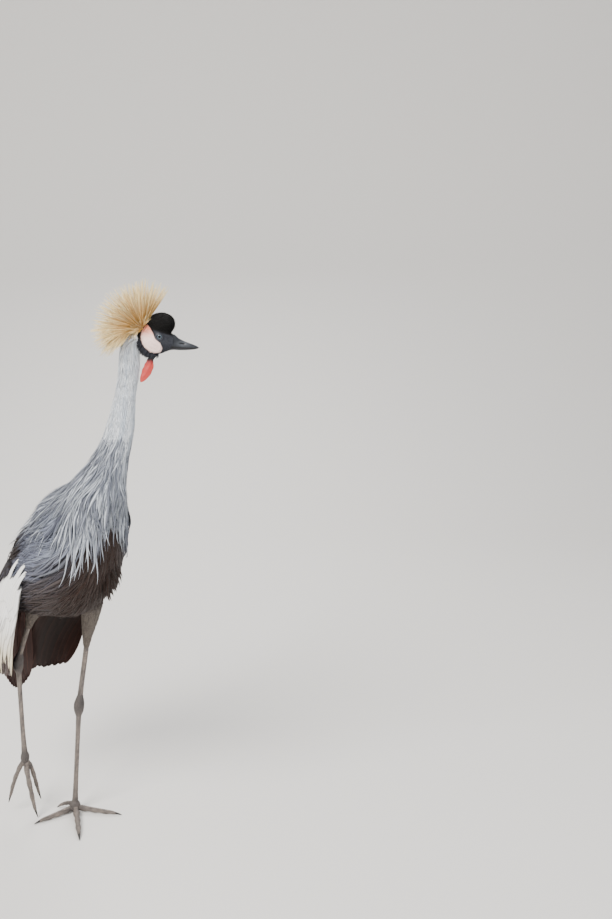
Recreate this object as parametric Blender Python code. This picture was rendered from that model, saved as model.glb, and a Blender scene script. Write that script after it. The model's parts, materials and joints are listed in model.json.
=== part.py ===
"""A grey crowned crane at life size, in metres: it stands on its left foot, lifts the right one off its
toes and looks to its left. X is the way the body heads, Y its left side, Z up. The origin is under the
sole of the standing foot."""

import math
import random

import bmesh
import bpy
import numpy as np
from mathutils import Vector

# Gap between pieces that touch
GAP = 0.0003
CUT_GAP = 0.00036

# Body: an egg on an axis that starts under the neck and runs back and down
BODY_TILT = math.radians(38)
MIDLINE = -0.040
BODY_START = np.array([0.150, MIDLINE, 0.664])
BACKWARD = np.array([-math.cos(BODY_TILT), 0.0, -math.sin(BODY_TILT)])
DORSAL = np.array([-math.sin(BODY_TILT), 0.0, math.cos(BODY_TILT)])
RIGHT = np.array([0.0, -1.0, 0.0])
BODY_FRONT = -0.036
BODY_END = 0.388
# Distance down the axis, then the back, the belly and the half width there
BODY_SHAPE = [
    (-0.036, -0.006, -0.020, 0.012),
    (-0.026, 0.010, -0.031, 0.029),
    (0.000, 0.021, -0.047, 0.046),
    (0.040, 0.024, -0.081, 0.062),
    (0.090, 0.025, -0.119, 0.073),
    (0.150, 0.025, -0.141, 0.078),
    (0.205, 0.024, -0.140, 0.076),
    (0.255, 0.020, -0.120, 0.070),
    (0.305, 0.012, -0.090, 0.058),
    (0.345, 0.001, -0.064, 0.044),
    (0.372, -0.010, -0.048, 0.030),
    (0.388, -0.020, -0.036, 0.014),
]

# Neck: centre line and half width, from inside the shoulders to the back of the skull
NECK = [
    ((0.098, -0.040, 0.590), 0.068),
    ((0.117, -0.039, 0.625), 0.0602),
    ((0.132, -0.037, 0.652), 0.0505),
    ((0.1435, -0.033, 0.679), 0.0415),
    ((0.1520, -0.0275, 0.705), 0.0345),
    ((0.1630, -0.0200, 0.741), 0.0276),
    ((0.1710, -0.0145, 0.776), 0.0250),
    ((0.1765, -0.0118, 0.811), 0.0216),
    ((0.1805, -0.0100, 0.838), 0.0184),
    ((0.1850, -0.0083, 0.864), 0.0170),
    ((0.1880, -0.0074, 0.889), 0.0161),
    ((0.1905, -0.0068, 0.913), 0.0156),
    ((0.1945, -0.0035, 0.930), 0.0143),
    ((0.2030, 0.0045, 0.939), 0.0112),
]
NECK_CUTS = (0.722, 0.815)

# Head: level with the eyes on the middle plane, turned to the bird's left
HEAD = np.array([0.2262, 0.0282, 0.9400])
HEAD_TURN = math.radians(48)
SKULL = [
    (-0.0365, -0.006, 0.005, 0.006),
    (-0.0330, -0.005, 0.014, 0.0105),
    (-0.0240, -0.004, 0.0235, 0.0155),
    (-0.0110, -0.004, 0.0268, 0.0178),
    (0.0010, -0.005, 0.0245, 0.0168),
    (0.0110, -0.007, 0.0185, 0.0135),
    (0.0180, -0.009, 0.0140, 0.0105),
    (0.0220, -0.0105, 0.0118, 0.0090),
]
BILL_BASE = 0.0222
BILL_TIP = 0.0655
BILL_GAPE = -0.0188
# How far the gape line drops from the base of the bill to its tip
BILL_DROOP = 0.0012
# Forward, ridge, half width of the upper half, keel, half width of the lower half, which ends short of the tip
BILL_SHAPE = [
    (BILL_BASE, 0.0030, 0.0086, -0.0232, 0.0080),
    (0.0300, -0.0030, 0.0066, -0.0238, 0.0062),
    (0.0390, -0.0078, 0.0052, -0.0237, 0.0048),
    (0.0480, -0.0112, 0.0040, -0.0231, 0.0037),
    (0.0570, -0.0145, 0.0027, -0.0221, 0.0024),
    (0.0625, -0.0172, 0.0015, -0.0209, 0.0013),
    (BILL_TIP, -0.0196, 0.0004, None, None),
]
NOSTRIL_CENTRE = (0.0365, 0.0054, -0.0122)
NOSTRIL_SIZE = (0.0046, 0.0016, 0.0011)
NOSTRIL_TILT = 0.12
# The mouth runs back past the base of the bill as a thin slit
MOUTH_REACH = (0.0080, 0.0300)
MOUTH_HEIGHT = 0.0004
MOUTH_DEPTH = (0.016, 0.0085, 0.004)
WATTLE_PATH = [
    (-0.0150, 0.0, -0.0270), (-0.0165, 0.0, -0.0400), (-0.0205, 0.0, -0.0560),
    (-0.0270, 0.0, -0.0700), (-0.0325, 0.0, -0.0790),
]
WATTLE_RADII = [(0.0030, 0.0035), (0.0030, 0.0042), (0.0042, 0.0076), (0.0036, 0.0064), (0.0010, 0.0012)]
EYE_RADIUS = 0.0072
EYE_SIDE = 0.0102
LID_THICKNESS = 0.0013
LID_OPENING = (0.0046, 0.0038)
LID_TILT = 0.2
CHEEK_THICKNESS = 0.0019
# The bare patch, from its narrow top behind the eye to its round foot under the mouth
CHEEK_OUTLINE = [
    (-0.0215, 0.0205), (-0.0295, 0.0090), (-0.0312, -0.0010), (-0.0290, -0.0110),
    (-0.0235, -0.0200), (-0.0150, -0.0268), (-0.0060, -0.0292), (0.0020, -0.0262),
    (0.0048, -0.0190), (0.0015, -0.0105), (-0.0065, -0.0040), (-0.0100, 0.0050), (-0.0150, 0.0140),
]
CAP_CENTRE = (0.0005, 0.0, 0.0185)
CAP_SIZE = (0.0255, 0.0150, 0.0205)
CAP_TILT = math.radians(14)
CREST_ROOT = (-0.0300, 0.0, 0.0115)
CREST_DOME = 0.0125
CREST_LENGTH = 0.084
CREST_SPINES = 84
CREST_LEAN = math.radians(135)
CREST_FAN = math.radians(79)
CREST_LEVEL = math.radians(176)
CREST_SPREAD = math.radians(50)
SPINE_RADII = (0.0009, 0.0007, 0.0003)
SPINE_KNEE = 0.46
SPINE_CLEAR = {"cap": 0.0025, "skull": 0.0045, "neck": 0.0016}

# Legs: the standing left leg and the lifted right leg, foot first
LEFT_HUB = np.array([0.000, 0.000, 0.0115])
LEFT_HUB_SIZE = (0.0118, 0.0112, 0.0135)
LEFT_LEG = [(0.0, 0.0, 0.018), (0.0015, 0.0015, 0.060), (0.0045, 0.0040, 0.140), (0.0072, 0.0064, 0.214)]
LEFT_SHIN = [(0.0072, 0.0064, 0.216), (0.0086, 0.0120, 0.262), (0.0120, 0.0206, 0.332)]
LEFT_THIGH = [
    (0.0118, 0.0200, 0.330), (0.0210, 0.0175, 0.360), (0.0430, 0.0095, 0.405), (0.0700, -0.0020, 0.450),
]
RIGHT_HUB = np.array([-0.0512, -0.0760, 0.1180])
RIGHT_HUB_SIZE = (0.0085, 0.0095, 0.0110)
RIGHT_LEG = [
    (-0.0516, -0.0762, 0.1240), (-0.0545, -0.0775, 0.165), (-0.0590, -0.0790, 0.235), (-0.0628, -0.0803, 0.302),
]
RIGHT_SHIN = [(-0.0630, -0.0804, 0.305), (-0.0520, -0.0790, 0.335), (-0.0330, -0.0757, 0.382)]
RIGHT_THIGH = [
    (-0.0338, -0.0758, 0.380), (-0.0250, -0.0745, 0.400), (-0.0080, -0.0735, 0.430), (0.0150, -0.0730, 0.465),
]
# Half widths as pairs: share of the length, half width
SHANK_RADII = [(0.0, 0.0062), (0.1, 0.0050), (0.3, 0.0042), (0.85, 0.0042), (1.0, 0.0050)]
SHIN_RADII = [(0.0, 0.0047), (1.0, 0.0050)]
THIGH_RADII = [(0.0, 0.0060), (0.12, 0.0085), (0.5, 0.0145), (1.0, 0.022)]
HOCK_RADII = [0.0048, 0.0078, 0.0096, 0.0100, 0.0088, 0.0068, 0.0052]
HOCK_REACH = 0.022
HOCK_RISE = 0.001
# Toes: name, path from the foot to the claw tip, half width along it
LEFT_TOES = [
    (
        "toe_middle",
        [(0.0, 0.0, 0.0085), (0.030, -0.0150, 0.0066), (0.060, -0.0320, 0.0050), (0.081, -0.0440, 0.0042),
         (0.093, -0.0510, 0.0016)],
        (0.0062, 0.0052, 0.0048, 0.0042, 0.0008),
    ),
    (
        "toe_inner",
        [(0.0, 0.0, 0.0085), (0.026, 0.020, 0.0062), (0.050, 0.0385, 0.0045), (0.065, 0.0500, 0.0036),
         (0.0735, 0.0566, 0.0016)],
        (0.0056, 0.0046, 0.0040, 0.0034, 0.0008),
    ),
    (
        "toe_outer",
        [(0.0, 0.0, 0.0085), (-0.003, -0.030, 0.0064), (-0.0062, -0.054, 0.0048), (-0.0088, -0.073, 0.0038),
         (-0.0102, -0.0835, 0.0016)],
        (0.0056, 0.0048, 0.0043, 0.0036, 0.0008),
    ),
    (
        "toe_back",
        [(0.0, 0.0, 0.0150), (-0.013, -0.0090, 0.0145), (-0.022, -0.0155, 0.0100), (-0.027, -0.0190, 0.0060),
         (-0.030, -0.0210, 0.0030)],
        (0.0042, 0.0038, 0.0033, 0.0026, 0.0007),
    ),
]
RIGHT_TOES = [
    (
        "toe_middle",
        [(-0.0512, -0.0760, 0.1170), (-0.0450, -0.0750, 0.086), (-0.0385, -0.0715, 0.050),
         (-0.0315, -0.0680, 0.018), (-0.0262, -0.0650, 0.0008)],
        (0.0050, 0.0046, 0.0043, 0.0037, 0.0012),
    ),
    (
        "toe_inner",
        [(-0.0512, -0.0760, 0.1170), (-0.0510, -0.0640, 0.094), (-0.0500, -0.0560, 0.066),
         (-0.0486, -0.0500, 0.040), (-0.0474, -0.0450, 0.022)],
        (0.0046, 0.0042, 0.0038, 0.0032, 0.0008),
    ),
    (
        "toe_outer",
        [(-0.0512, -0.0760, 0.1170), (-0.0590, -0.0860, 0.092), (-0.0680, -0.0915, 0.064),
         (-0.0740, -0.0945, 0.040), (-0.0795, -0.0960, 0.021)],
        (0.0046, 0.0042, 0.0038, 0.0032, 0.0008),
    ),
    (
        "toe_back",
        [(-0.0520, -0.0765, 0.1170), (-0.0620, -0.0680, 0.1130), (-0.0675, -0.0630, 0.106),
         (-0.0700, -0.0605, 0.098), (-0.0705, -0.0595, 0.091)],
        (0.0038, 0.0034, 0.0030, 0.0024, 0.0007),
    ),
]
TOE_STATIONS = 10
# The pads under each toe: how far they swell, how many stations one takes, which stations have them
PAD_SWELL = 0.10
PAD_PITCH = 2.6
PAD_STATIONS = range(1, 8)

# The folded wing as a curtain of three feathers, lower front to rear: where each leaves the body (down it, turn),
# then its places forward, out from the middle plane and up
WING_ROOTS = [(0.212, math.radians(94)), (0.236, math.radians(62)), (0.258, math.radians(30))]
WING_SHEET = [
    [(0.004, 0.077, 0.408), (-0.026, 0.069, 0.338), (-0.058, 0.048, 0.262)],
    [(-0.060, 0.074, 0.420), (-0.096, 0.064, 0.330), (-0.124, 0.044, 0.246)],
    [(-0.124, 0.026, 0.432), (-0.160, 0.020, 0.322), (-0.177, 0.016, 0.205)],
]
# Each wing hangs a little differently: forward and up
WING_SHIFT = {-1: (-0.006, 0.010), 1: (-0.010, -0.006)}
WING_CENTRE = (0.192, math.radians(60))
WING_REACH = (0.136, math.radians(54))
WING_DEPTH = 0.0055
# Tiers of the wing from inside out: from and to along it, height off the body, overlap
WING_FEATHERS = 8
WING_TIERS = [
    (0.05, 1.00, 0.0030, 1.12),
    (0.00, 0.84, 0.0072, 1.12),
]
WING_ROOT_LIFT = 0.0012
WING_ROLL = 0.18
FEATHER_THICKNESS = 0.0008
# Shoulder plumes: count, root and length down the body, first and last turn, drift, height, width
SHOULDER_ROWS = [
    (8, 0.150, 0.135, math.radians(20), math.radians(100), math.radians(10), 0.0104, 0.0150),
    (6, 0.085, 0.135, math.radians(32), math.radians(88), math.radians(13), 0.0126, 0.0145),
]
SHOULDER_FLARE = 0.002
SHOULDER_ROLL = 0.06
# Neck plumes: count, root height on the neck, where the tips reach down the breast and the flank, width
NECK_ROWS = [
    (15, 0.655, 0.085, 0.128, 0.0140),
    (14, 0.684, 0.064, 0.104, 0.0120),
    (12, 0.711, 0.042, 0.078, 0.0100),
]
NECK_ROW_STEP = 0.0022
TAIL_ROOT = (-0.120, -0.040, 0.420)
TAIL_PATH = [
    (-0.132, -0.040, 0.380), (-0.139, -0.040, 0.325), (-0.143, -0.040, 0.265), (-0.146, -0.040, 0.212),
]
TAIL_BASE_RADII = [(0.014, 0.008), (0.020, 0.009), (0.022, 0.008), (0.020, 0.006), (0.014, 0.003)]
TAIL_FEATHERS = 10
TAIL_FEATHER_WIDTH = 0.019
TAIL_FEATHER_THICKNESS = 0.0009
TAIL_SPREAD = 0.026
# The outer feathers end higher than the middle ones and lie in front of them, step by step
TAIL_RISE = 0.022
TAIL_STEP = 0.0013
SOLE = 0.0

COLOURS = {
    "plume_grey": (0.52, 0.56, 0.60, 1.0),
    "slate": (0.16, 0.18, 0.21, 1.0),
    "covert_white": (0.82, 0.80, 0.74, 1.0),
    "chestnut": (0.10, 0.035, 0.02, 1.0),
    "black_velvet": (0.01, 0.01, 0.012, 1.0),
    "cheek_white": (0.80, 0.66, 0.62, 1.0),
    "wattle_red": (0.70, 0.10, 0.10, 1.0),
    "straw": (0.75, 0.56, 0.24, 1.0),
    "horn": (0.06, 0.07, 0.085, 1.0),
    "scaled_leg": (0.13, 0.135, 0.145, 1.0),
    "iris": (0.45, 0.56, 0.62, 1.0),
}
ROUGHNESS = {"iris": 0.1, "horn": 0.45, "scaled_leg": 0.6, "cheek_white": 0.6, "wattle_red": 0.55}

bird = None
blanks = None


def start_scene():
    """An empty scene with one collection for the bird and one for the pieces used up while it is made."""
    global bird, blanks
    for old in list(bpy.data.objects):
        bpy.data.objects.remove(old, do_unlink=True)
    bird = bpy.data.collections.new("grey_crowned_crane")
    blanks = bpy.data.collections.new("blanks")
    bpy.context.scene.collection.children.link(bird)
    bpy.context.scene.collection.children.link(blanks)


def colour(name):
    material = bpy.data.materials.get(name)
    if material is None:
        material = bpy.data.materials.new(name)
        material.use_nodes = True
        shader = material.node_tree.nodes["Principled BSDF"]
        shader.inputs["Base Color"].default_value = COLOURS[name]
        shader.inputs["Roughness"].default_value = ROUGHNESS.get(name, 0.8)
        material.diffuse_color = COLOURS[name]
    return material


def add_mesh(name, points, faces, material=None, collection=None):
    mesh = bpy.data.meshes.new(name)
    mesh.from_pydata([tuple(point) for point in points], [], faces)
    form = bmesh.new()
    form.from_mesh(mesh)
    bmesh.ops.recalc_face_normals(form, faces=form.faces)
    bmesh.ops.triangulate(form, faces=form.faces)
    form.to_mesh(mesh)
    form.free()
    if material:
        mesh.materials.append(colour(material))
    obj = bpy.data.objects.new(name, mesh)
    (collection or bird).objects.link(obj)
    return obj


def loft(name, rings, material=None, collection=None):
    """A closed skin over rings of as many points each, with flat ends."""
    sides = len(rings[0])
    points = [point for ring in rings for point in ring]
    faces = []
    for row in range(len(rings) - 1):
        for side in range(sides):
            after = (side + 1) % sides
            near, far = row * sides, (row + 1) * sides
            faces.append((near + side, near + after, far + after, far + side))
    faces.append(tuple(range(sides)))
    last = (len(rings) - 1) * sides
    faces.append(tuple(last + side for side in reversed(range(sides))))
    return add_mesh(name, points, faces, material, collection)


def unit(vector):
    return np.asarray(vector) / np.linalg.norm(vector)


def through(keys, x):
    """A smooth curve through rows whose first number is the place along it."""
    keys = np.asarray(keys, float)
    places, values = keys[:, 0], keys[:, 1:]
    slopes = np.gradient(values, places, axis=0)
    index = int(np.clip(np.searchsorted(places, x) - 1, 0, len(places) - 2))
    width = places[index + 1] - places[index]
    u = (x - places[index]) / width
    start, end = values[index], values[index + 1]
    rise, fall = slopes[index] * width, slopes[index + 1] * width
    return (
        (2 * u**3 - 3 * u**2 + 1) * start
        + (u**3 - 2 * u**2 + u) * rise
        + (3 * u**2 - 2 * u**3) * end
        + (u**3 - u**2) * fall
    )


def along(points, count):
    """As many points, evenly spread, on a smooth curve through the given ones."""
    points = np.asarray(points, float)
    steps = np.linalg.norm(np.diff(points, axis=0), axis=1)
    places = np.concatenate([[0.0], np.cumsum(steps)])
    keys = np.column_stack([places, points])
    return np.array([through(keys, x) for x in np.linspace(0, places[-1], count)])


def tube_rings(points, radii, sides, up=(0.0, 0.0, 1.0), floor=None):
    """Rings round a path. A radius may be a pair: across, and towards up."""
    points = np.asarray(points, float)
    tangents = np.gradient(points, axis=0)
    rings = []
    across = np.cross(tangents[0], up)
    if np.linalg.norm(across) < 1e-9:
        across = np.array([1.0, 0.0, 0.0])
    for point, tangent, radius in zip(points, tangents, radii):
        tangent = unit(tangent)
        across = unit(across - tangent * np.dot(across, tangent))
        over = np.cross(across, tangent)
        wide, tall = radius if np.ndim(radius) else (radius, radius)
        ring = []
        for side in range(sides):
            angle = 2 * math.pi * (side + 0.5) / sides
            place = point + across * wide * math.cos(angle) + over * tall * math.sin(angle)
            if floor is not None:
                place[2] = max(place[2], floor)
            ring.append(place)
        rings.append(ring)
    return rings


def tube(name, points, radii, sides=8, material=None, collection=None, **form):
    return loft(name, tube_rings(points, radii, sides, **form), material, collection)


def ball(name, centre, size, turn=0.0, tilt=0.0, segments=16, rings=10, collection=None):
    """An ellipsoid, tilted about its side axis and then turned about the upright."""
    bpy.ops.mesh.primitive_uv_sphere_add(segments=segments, ring_count=rings, radius=1.0)
    obj = bpy.context.object
    obj.name = name
    for vertex in obj.data.vertices:
        x, y, z = (a * b for a, b in zip(vertex.co, size))
        x, z = x * math.cos(tilt) + z * math.sin(tilt), -x * math.sin(tilt) + z * math.cos(tilt)
        x, y = x * math.cos(turn) - y * math.sin(turn), x * math.sin(turn) + y * math.cos(turn)
        vertex.co = Vector((x, y, z)) + Vector(centre)
    for home in obj.users_collection:
        home.objects.unlink(obj)
    (collection or blanks).objects.link(obj)
    return obj


def finish(obj, name, material):
    """Names a finished piece and moves it to the bird."""
    obj.name = name
    obj.data.name = name
    obj.data.materials.clear()
    obj.data.materials.append(colour(material))
    for home in list(obj.users_collection):
        home.objects.unlink(obj)
    bird.objects.link(obj)
    return obj


def remove(*objects):
    for obj in objects:
        bpy.data.objects.remove(obj, do_unlink=True)


def apply(obj):
    bpy.context.view_layer.update()
    graph = bpy.context.evaluated_depsgraph_get()
    mesh = bpy.data.meshes.new_from_object(obj.evaluated_get(graph))
    obj.modifiers.clear()
    obj.data = mesh


def keep_largest(obj):
    """Keeps the largest closed surface, without the scraps and sealed hollows that a cut or union leaves."""
    form = bmesh.new()
    form.from_mesh(obj.data)
    left = set(form.faces)
    groups = []
    while left:
        group, edge = set(), [left.pop()]
        while edge:
            face = edge.pop()
            group.add(face)
            for side in face.edges:
                for other in side.link_faces:
                    if other in left:
                        left.remove(other)
                        edge.append(other)
        groups.append(group)
    if len(groups) > 1:
        best = max(groups, key=lambda group: sum(face.calc_area() for face in group))
        loose = [face for group in groups if group is not best for face in group]
        bmesh.ops.delete(form, geom=loose, context="FACES")
    form.to_mesh(obj.data)
    form.free()


def combine(obj, operation, other, solver="EXACT"):
    change = obj.modifiers.new(operation.lower(), "BOOLEAN")
    change.operation = operation
    change.solver = solver
    change.object = other
    apply(obj)
    keep_largest(obj)


def grown(obj, by):
    """A copy whose skin stands off the object's own by a set distance."""
    copy = bpy.data.objects.new(obj.name + "_grown", obj.data.copy())
    blanks.objects.link(copy)
    form = bmesh.new()
    form.from_mesh(copy.data)
    form.normal_update()
    shifts = [vertex.normal * by for vertex in form.verts]
    for vertex, shift in zip(form.verts, shifts):
        vertex.co += shift
    form.to_mesh(copy.data)
    form.free()
    return copy


def clear_of(obj, neighbour, by=CUT_GAP):
    """Cuts the piece back until it stands clear of its neighbour by the gap."""
    cutter = grown(neighbour, by)
    combine(obj, "DIFFERENCE", cutter)
    remove(cutter)


def fuse(obj, pieces, solver="EXACT"):
    """Joins closed pieces to the node they grow from, in one union."""
    group = bpy.data.collections.new(obj.name + "_pieces")
    for piece in pieces:
        for home in list(piece.users_collection):
            home.objects.unlink(piece)
        group.objects.link(piece)
    bpy.context.scene.collection.children.link(group)
    change = obj.modifiers.new("union", "BOOLEAN")
    change.operation = "UNION"
    change.solver = solver
    change.operand_type = "COLLECTION"
    change.collection = group
    apply(obj)
    remove(*list(group.objects))
    bpy.data.collections.remove(group)
    keep_largest(obj)


def body_section(t):
    top, bottom, half = through(BODY_SHAPE, float(np.clip(t, BODY_FRONT, BODY_END)))
    return (top + bottom) / 2, (top - bottom) / 2, half


def body_point(t, turn, lift=0.0):
    """On the body: t down the axis, turn from the back over the right side to the belly."""
    centre, tall, wide = body_section(t)
    base = BODY_START + BACKWARD * t + DORSAL * centre
    place = base + DORSAL * tall * math.cos(turn) + RIGHT * wide * math.sin(turn)
    if lift:
        outward = unit(DORSAL * math.cos(turn) / tall + RIGHT * math.sin(turn) / wide)
        place = place + outward * lift
    return place


def drape(place, lift):
    """Pushes a place out of the body until it stands off it by the lift. Gives it and the way out."""
    offset = np.asarray(place, float) - BODY_START
    t = float(np.dot(offset, BACKWARD))
    centre, tall, wide = body_section(t)
    up = float(np.dot(offset, DORSAL)) - centre
    side = float(np.dot(offset, RIGHT))
    outward = unit(DORSAL * up / tall**2 + RIGHT * side / wide**2)
    reach = math.hypot(up / tall, side / wide)
    edge = math.hypot(up / (tall + lift), side / (wide + lift))
    if BODY_FRONT < t < BODY_END and edge < 1.0:
        scale = 1.0 / max(edge, 1e-6)
        place = BODY_START + BACKWARD * t + DORSAL * (centre + up * scale) + RIGHT * side * scale
    return np.asarray(place, float), outward, reach


def make_torso():
    rings = []
    sides = 22
    for step in range(16):
        share = (1 - math.cos(math.pi * step / 15)) / 2
        t = BODY_FRONT + (BODY_END - BODY_FRONT) * (0.35 * share + 0.65 * step / 15)
        rings.append([body_point(t, 2 * math.pi * side / sides) for side in range(sides)])
    return loft("torso", rings, "slate")


def neck_stations(low, high, step=0.018):
    """Centre line and half width of the neck between two heights."""
    rows = np.array([(*point, radius) for point, radius in NECK])
    steps = np.linalg.norm(np.diff(rows[:, :3], axis=0), axis=1)
    lengths = np.concatenate([[0.0], np.cumsum(steps)])
    keys = np.column_stack([lengths, rows])
    fine = np.array([through(keys, x) for x in np.linspace(0, lengths[-1], 400)])
    part = fine[(fine[:, 2] >= low) & (fine[:, 2] <= high)]
    reach = np.linalg.norm(np.diff(part[:, :3], axis=0), axis=1).sum()
    count = max(3, int(round(reach / step)) + 1)
    picks = np.linspace(0, len(part) - 1, count).round().astype(int)
    return part[picks, :3], part[picks, 3]


def make_neck(torso, skull, cheeks):
    low_cut, high_cut = NECK_CUTS
    pieces = {}
    for name, low, high in (
        ("neck_base", 0.0, low_cut),
        ("neck_middle", low_cut + GAP, high_cut),
        ("neck_upper", high_cut + GAP, 2.0),
    ):
        points, radii = neck_stations(low, high)
        rings = tube_rings(points, radii, 16)
        # The cut faces are level, so that neighbours stay parallel across the gap
        for end, height in ((0, low), (-1, high)):
            if 0.0 < height < 1.5:
                rings[end] = [np.array([place[0], place[1], height]) for place in rings[end]]
        pieces[name] = loft(name, rings, "plume_grey")
    fuse(pieces["neck_base"], neck_plumes(random.Random(3)))
    clear_of(pieces["neck_base"], torso)
    for other in (skull, *cheeks):
        clear_of(pieces["neck_upper"], other)
    return pieces


def head_place(forward, left, up):
    """A place in the head's own directions: towards the bill, to its left, up."""
    c, s = math.cos(HEAD_TURN), math.sin(HEAD_TURN)
    return HEAD + np.array([forward * c - left * s, forward * s + left * c, up])


def head_ring(forward, middle, tall, wide, sides=16):
    ring = []
    for side in range(sides):
        angle = 2 * math.pi * (side + 0.5) / sides
        ring.append(head_place(forward, wide * math.sin(angle), middle + tall * math.cos(angle)))
    return ring


def make_skull():
    """The head without its cap, cheeks and eyes."""
    start, end = SKULL[0][0], SKULL[-1][0]
    rings = []
    for step in range(11):
        forward = start + (end - start) * (1 - math.cos(math.pi * step / 10)) / 2
        middle, tall, wide = through(SKULL, forward)
        rings.append(head_ring(forward, middle, tall, wide))
    return loft("skull", rings, "black_velvet")


def make_lids(skull, cheeks):
    """A raised ring of skin round each eye."""
    lid = EYE_RADIUS + LID_THICKNESS
    lids = []
    for side, cheek in zip((-1, 1), cheeks):
        lids.append(ball("lid", head_place(0.0, side * EYE_SIDE, 0.0), (lid, lid, lid), HEAD_TURN, 0.0, 12, 8))
        clear_of(cheek, lids[-1])
    fuse(skull, lids)


def make_eyes(skull):
    for name, side in (("eye_right", -1), ("eye_left", 1)):
        centre = head_place(0.0, side * EYE_SIDE, 0.0)
        length, height = LID_OPENING
        outside = head_place(0.0, side * 2 * EYE_SIDE, 0.0)
        opening = ball("opening", outside, (length, EYE_SIDE, height), HEAD_TURN, LID_TILT, 12, 6)
        combine(skull, "DIFFERENCE", opening)
        remove(opening)
        eye = ball(name, centre, (EYE_RADIUS, EYE_RADIUS, EYE_RADIUS), HEAD_TURN, 0.0, 12, 8)
        finish(eye, name, "iris")
        clear_of(skull, eye)


def make_cap(skull):
    cap = ball("forehead_cap", head_place(*CAP_CENTRE), CAP_SIZE, HEAD_TURN, CAP_TILT, 18, 11)
    finish(cap, "forehead_cap", "black_velvet")
    clear_of(cap, skull)
    return cap


def make_cheeks(skull, cap):
    outer = grown(skull, CHEEK_THICKNESS)
    cheeks = []
    for name, side in (("cheek_right", -1), ("cheek_left", 1)):
        rings = []
        for left in (side * 0.006, side * 0.030):
            rings.append([head_place(forward, left, up) for forward, up in CHEEK_OUTLINE])
        patch = loft(name, rings, "cheek_white")
        combine(patch, "INTERSECT", outer)
        clear_of(patch, skull)
        clear_of(patch, cap)
        cheeks.append(patch)
    remove(outer)
    return cheeks


def make_bill(skull):
    upper = []
    lower = []
    for forward, ridge, wide, keel, low_wide in BILL_SHAPE:
        gape = BILL_GAPE - BILL_DROOP * (forward - BILL_BASE) / (BILL_TIP - BILL_BASE)
        upper.append(bill_ring(forward, gape + GAP / 2, ridge, wide))
        if keel is not None:
            lower.append(bill_ring(forward, gape - GAP / 2, keel, low_wide))
    top = loft("bill_upper", upper, "horn")
    loft("bill_lower", lower, "horn")
    forward, left, up = NOSTRIL_CENTRE
    for side in (-1, 1):
        slot = ball("slot", head_place(forward, side * left, up), NOSTRIL_SIZE, HEAD_TURN, NOSTRIL_TILT, 12, 8)
        combine(top, "DIFFERENCE", slot)
        remove(slot)
    cut_mouth(skull)


def cut_mouth(skull):
    """The gape behind the bill, a slit on each side of the skull."""
    edge, tall = 0.02, MOUTH_HEIGHT
    corners = ((-edge, tall), (edge, tall), (edge, -tall), (-edge, -tall))
    rings = [[head_place(forward, left, BILL_GAPE + up) for left, up in corners] for forward in MOUTH_REACH]
    mouth = loft("mouth", rings, None, blanks)
    keep = ball("keep", head_place(0.010, 0.0, BILL_GAPE), MOUTH_DEPTH, HEAD_TURN, 0.0, 12, 8)
    combine(mouth, "DIFFERENCE", keep)
    combine(skull, "DIFFERENCE", mouth)
    remove(keep, mouth)


def bill_ring(forward, gape, edge, wide):
    """Half a bill: flat along the gape, rounded to its ridge or keel."""
    ring = [head_place(forward, -wide, gape)]
    for step in range(1, 8):
        angle = math.pi * step / 8
        ring.append(head_place(forward, -wide * math.cos(angle), gape + (edge - gape) * math.sin(angle)))
    ring.append(head_place(forward, wide, gape))
    return ring


def make_wattle(skull):
    path = [head_place(*place) for place in WATTLE_PATH]
    lobe = tube("wattle", path, WATTLE_RADII, 10, "wattle_red")
    clear_of(lobe, skull)
    return lobe


def crest_spines():
    """How far each stiff spine of the crest leans back and aside, spread evenly over a fan."""
    spines = []
    for index in range(CREST_SPINES):
        radius = math.sqrt((index + 0.5) / CREST_SPINES)
        angle = index * math.pi * (3 - math.sqrt(5))
        rise = CREST_LEAN + CREST_FAN * radius * math.cos(angle)
        spines.append((rise, CREST_SPREAD * radius * math.sin(angle)))
    return spines


def spine_way(rise, aside):
    """Forward, left and up."""
    return np.array([math.cos(rise) * math.cos(aside), math.sin(aside), math.sin(rise) * math.cos(aside)])


def near_neck(place, margin):
    """Whether a place is within the margin of the neck."""
    rows = np.array([(*point, radius) for point, radius in NECK])
    fine = np.linspace(0, len(rows) - 1, 120)
    line = np.array([np.interp(fine, range(len(rows)), column) for column in rows.T]).T
    return bool(np.any(np.linalg.norm(line[:, :3] - place, axis=1) < line[:, 3] + margin))


def near_cap(forward, left, up, margin):
    forward, up = forward - CAP_CENTRE[0], up - CAP_CENTRE[2]
    c, s = math.cos(-CAP_TILT), math.sin(-CAP_TILT)
    forward, up = forward * c + up * s, -forward * s + up * c
    sizes = [size + margin for size in CAP_SIZE]
    return (forward / sizes[0]) ** 2 + (left / sizes[1]) ** 2 + (up / sizes[2]) ** 2 < 1


def near_skull(forward, left, up, margin):
    if not SKULL[0][0] - margin < forward < SKULL[-1][0]:
        return False
    middle, tall, wide = through(SKULL, forward)
    return ((up - middle) / (tall + margin)) ** 2 + (left / (wide + margin)) ** 2 < 1


def touches_head(at):
    forward, left, up = at
    return (
        near_cap(forward, left, up, SPINE_CLEAR["cap"])
        or near_skull(forward, left, up, SPINE_CLEAR["skull"])
        or near_neck(head_place(*at), SPINE_CLEAR["neck"])
    )


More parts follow.
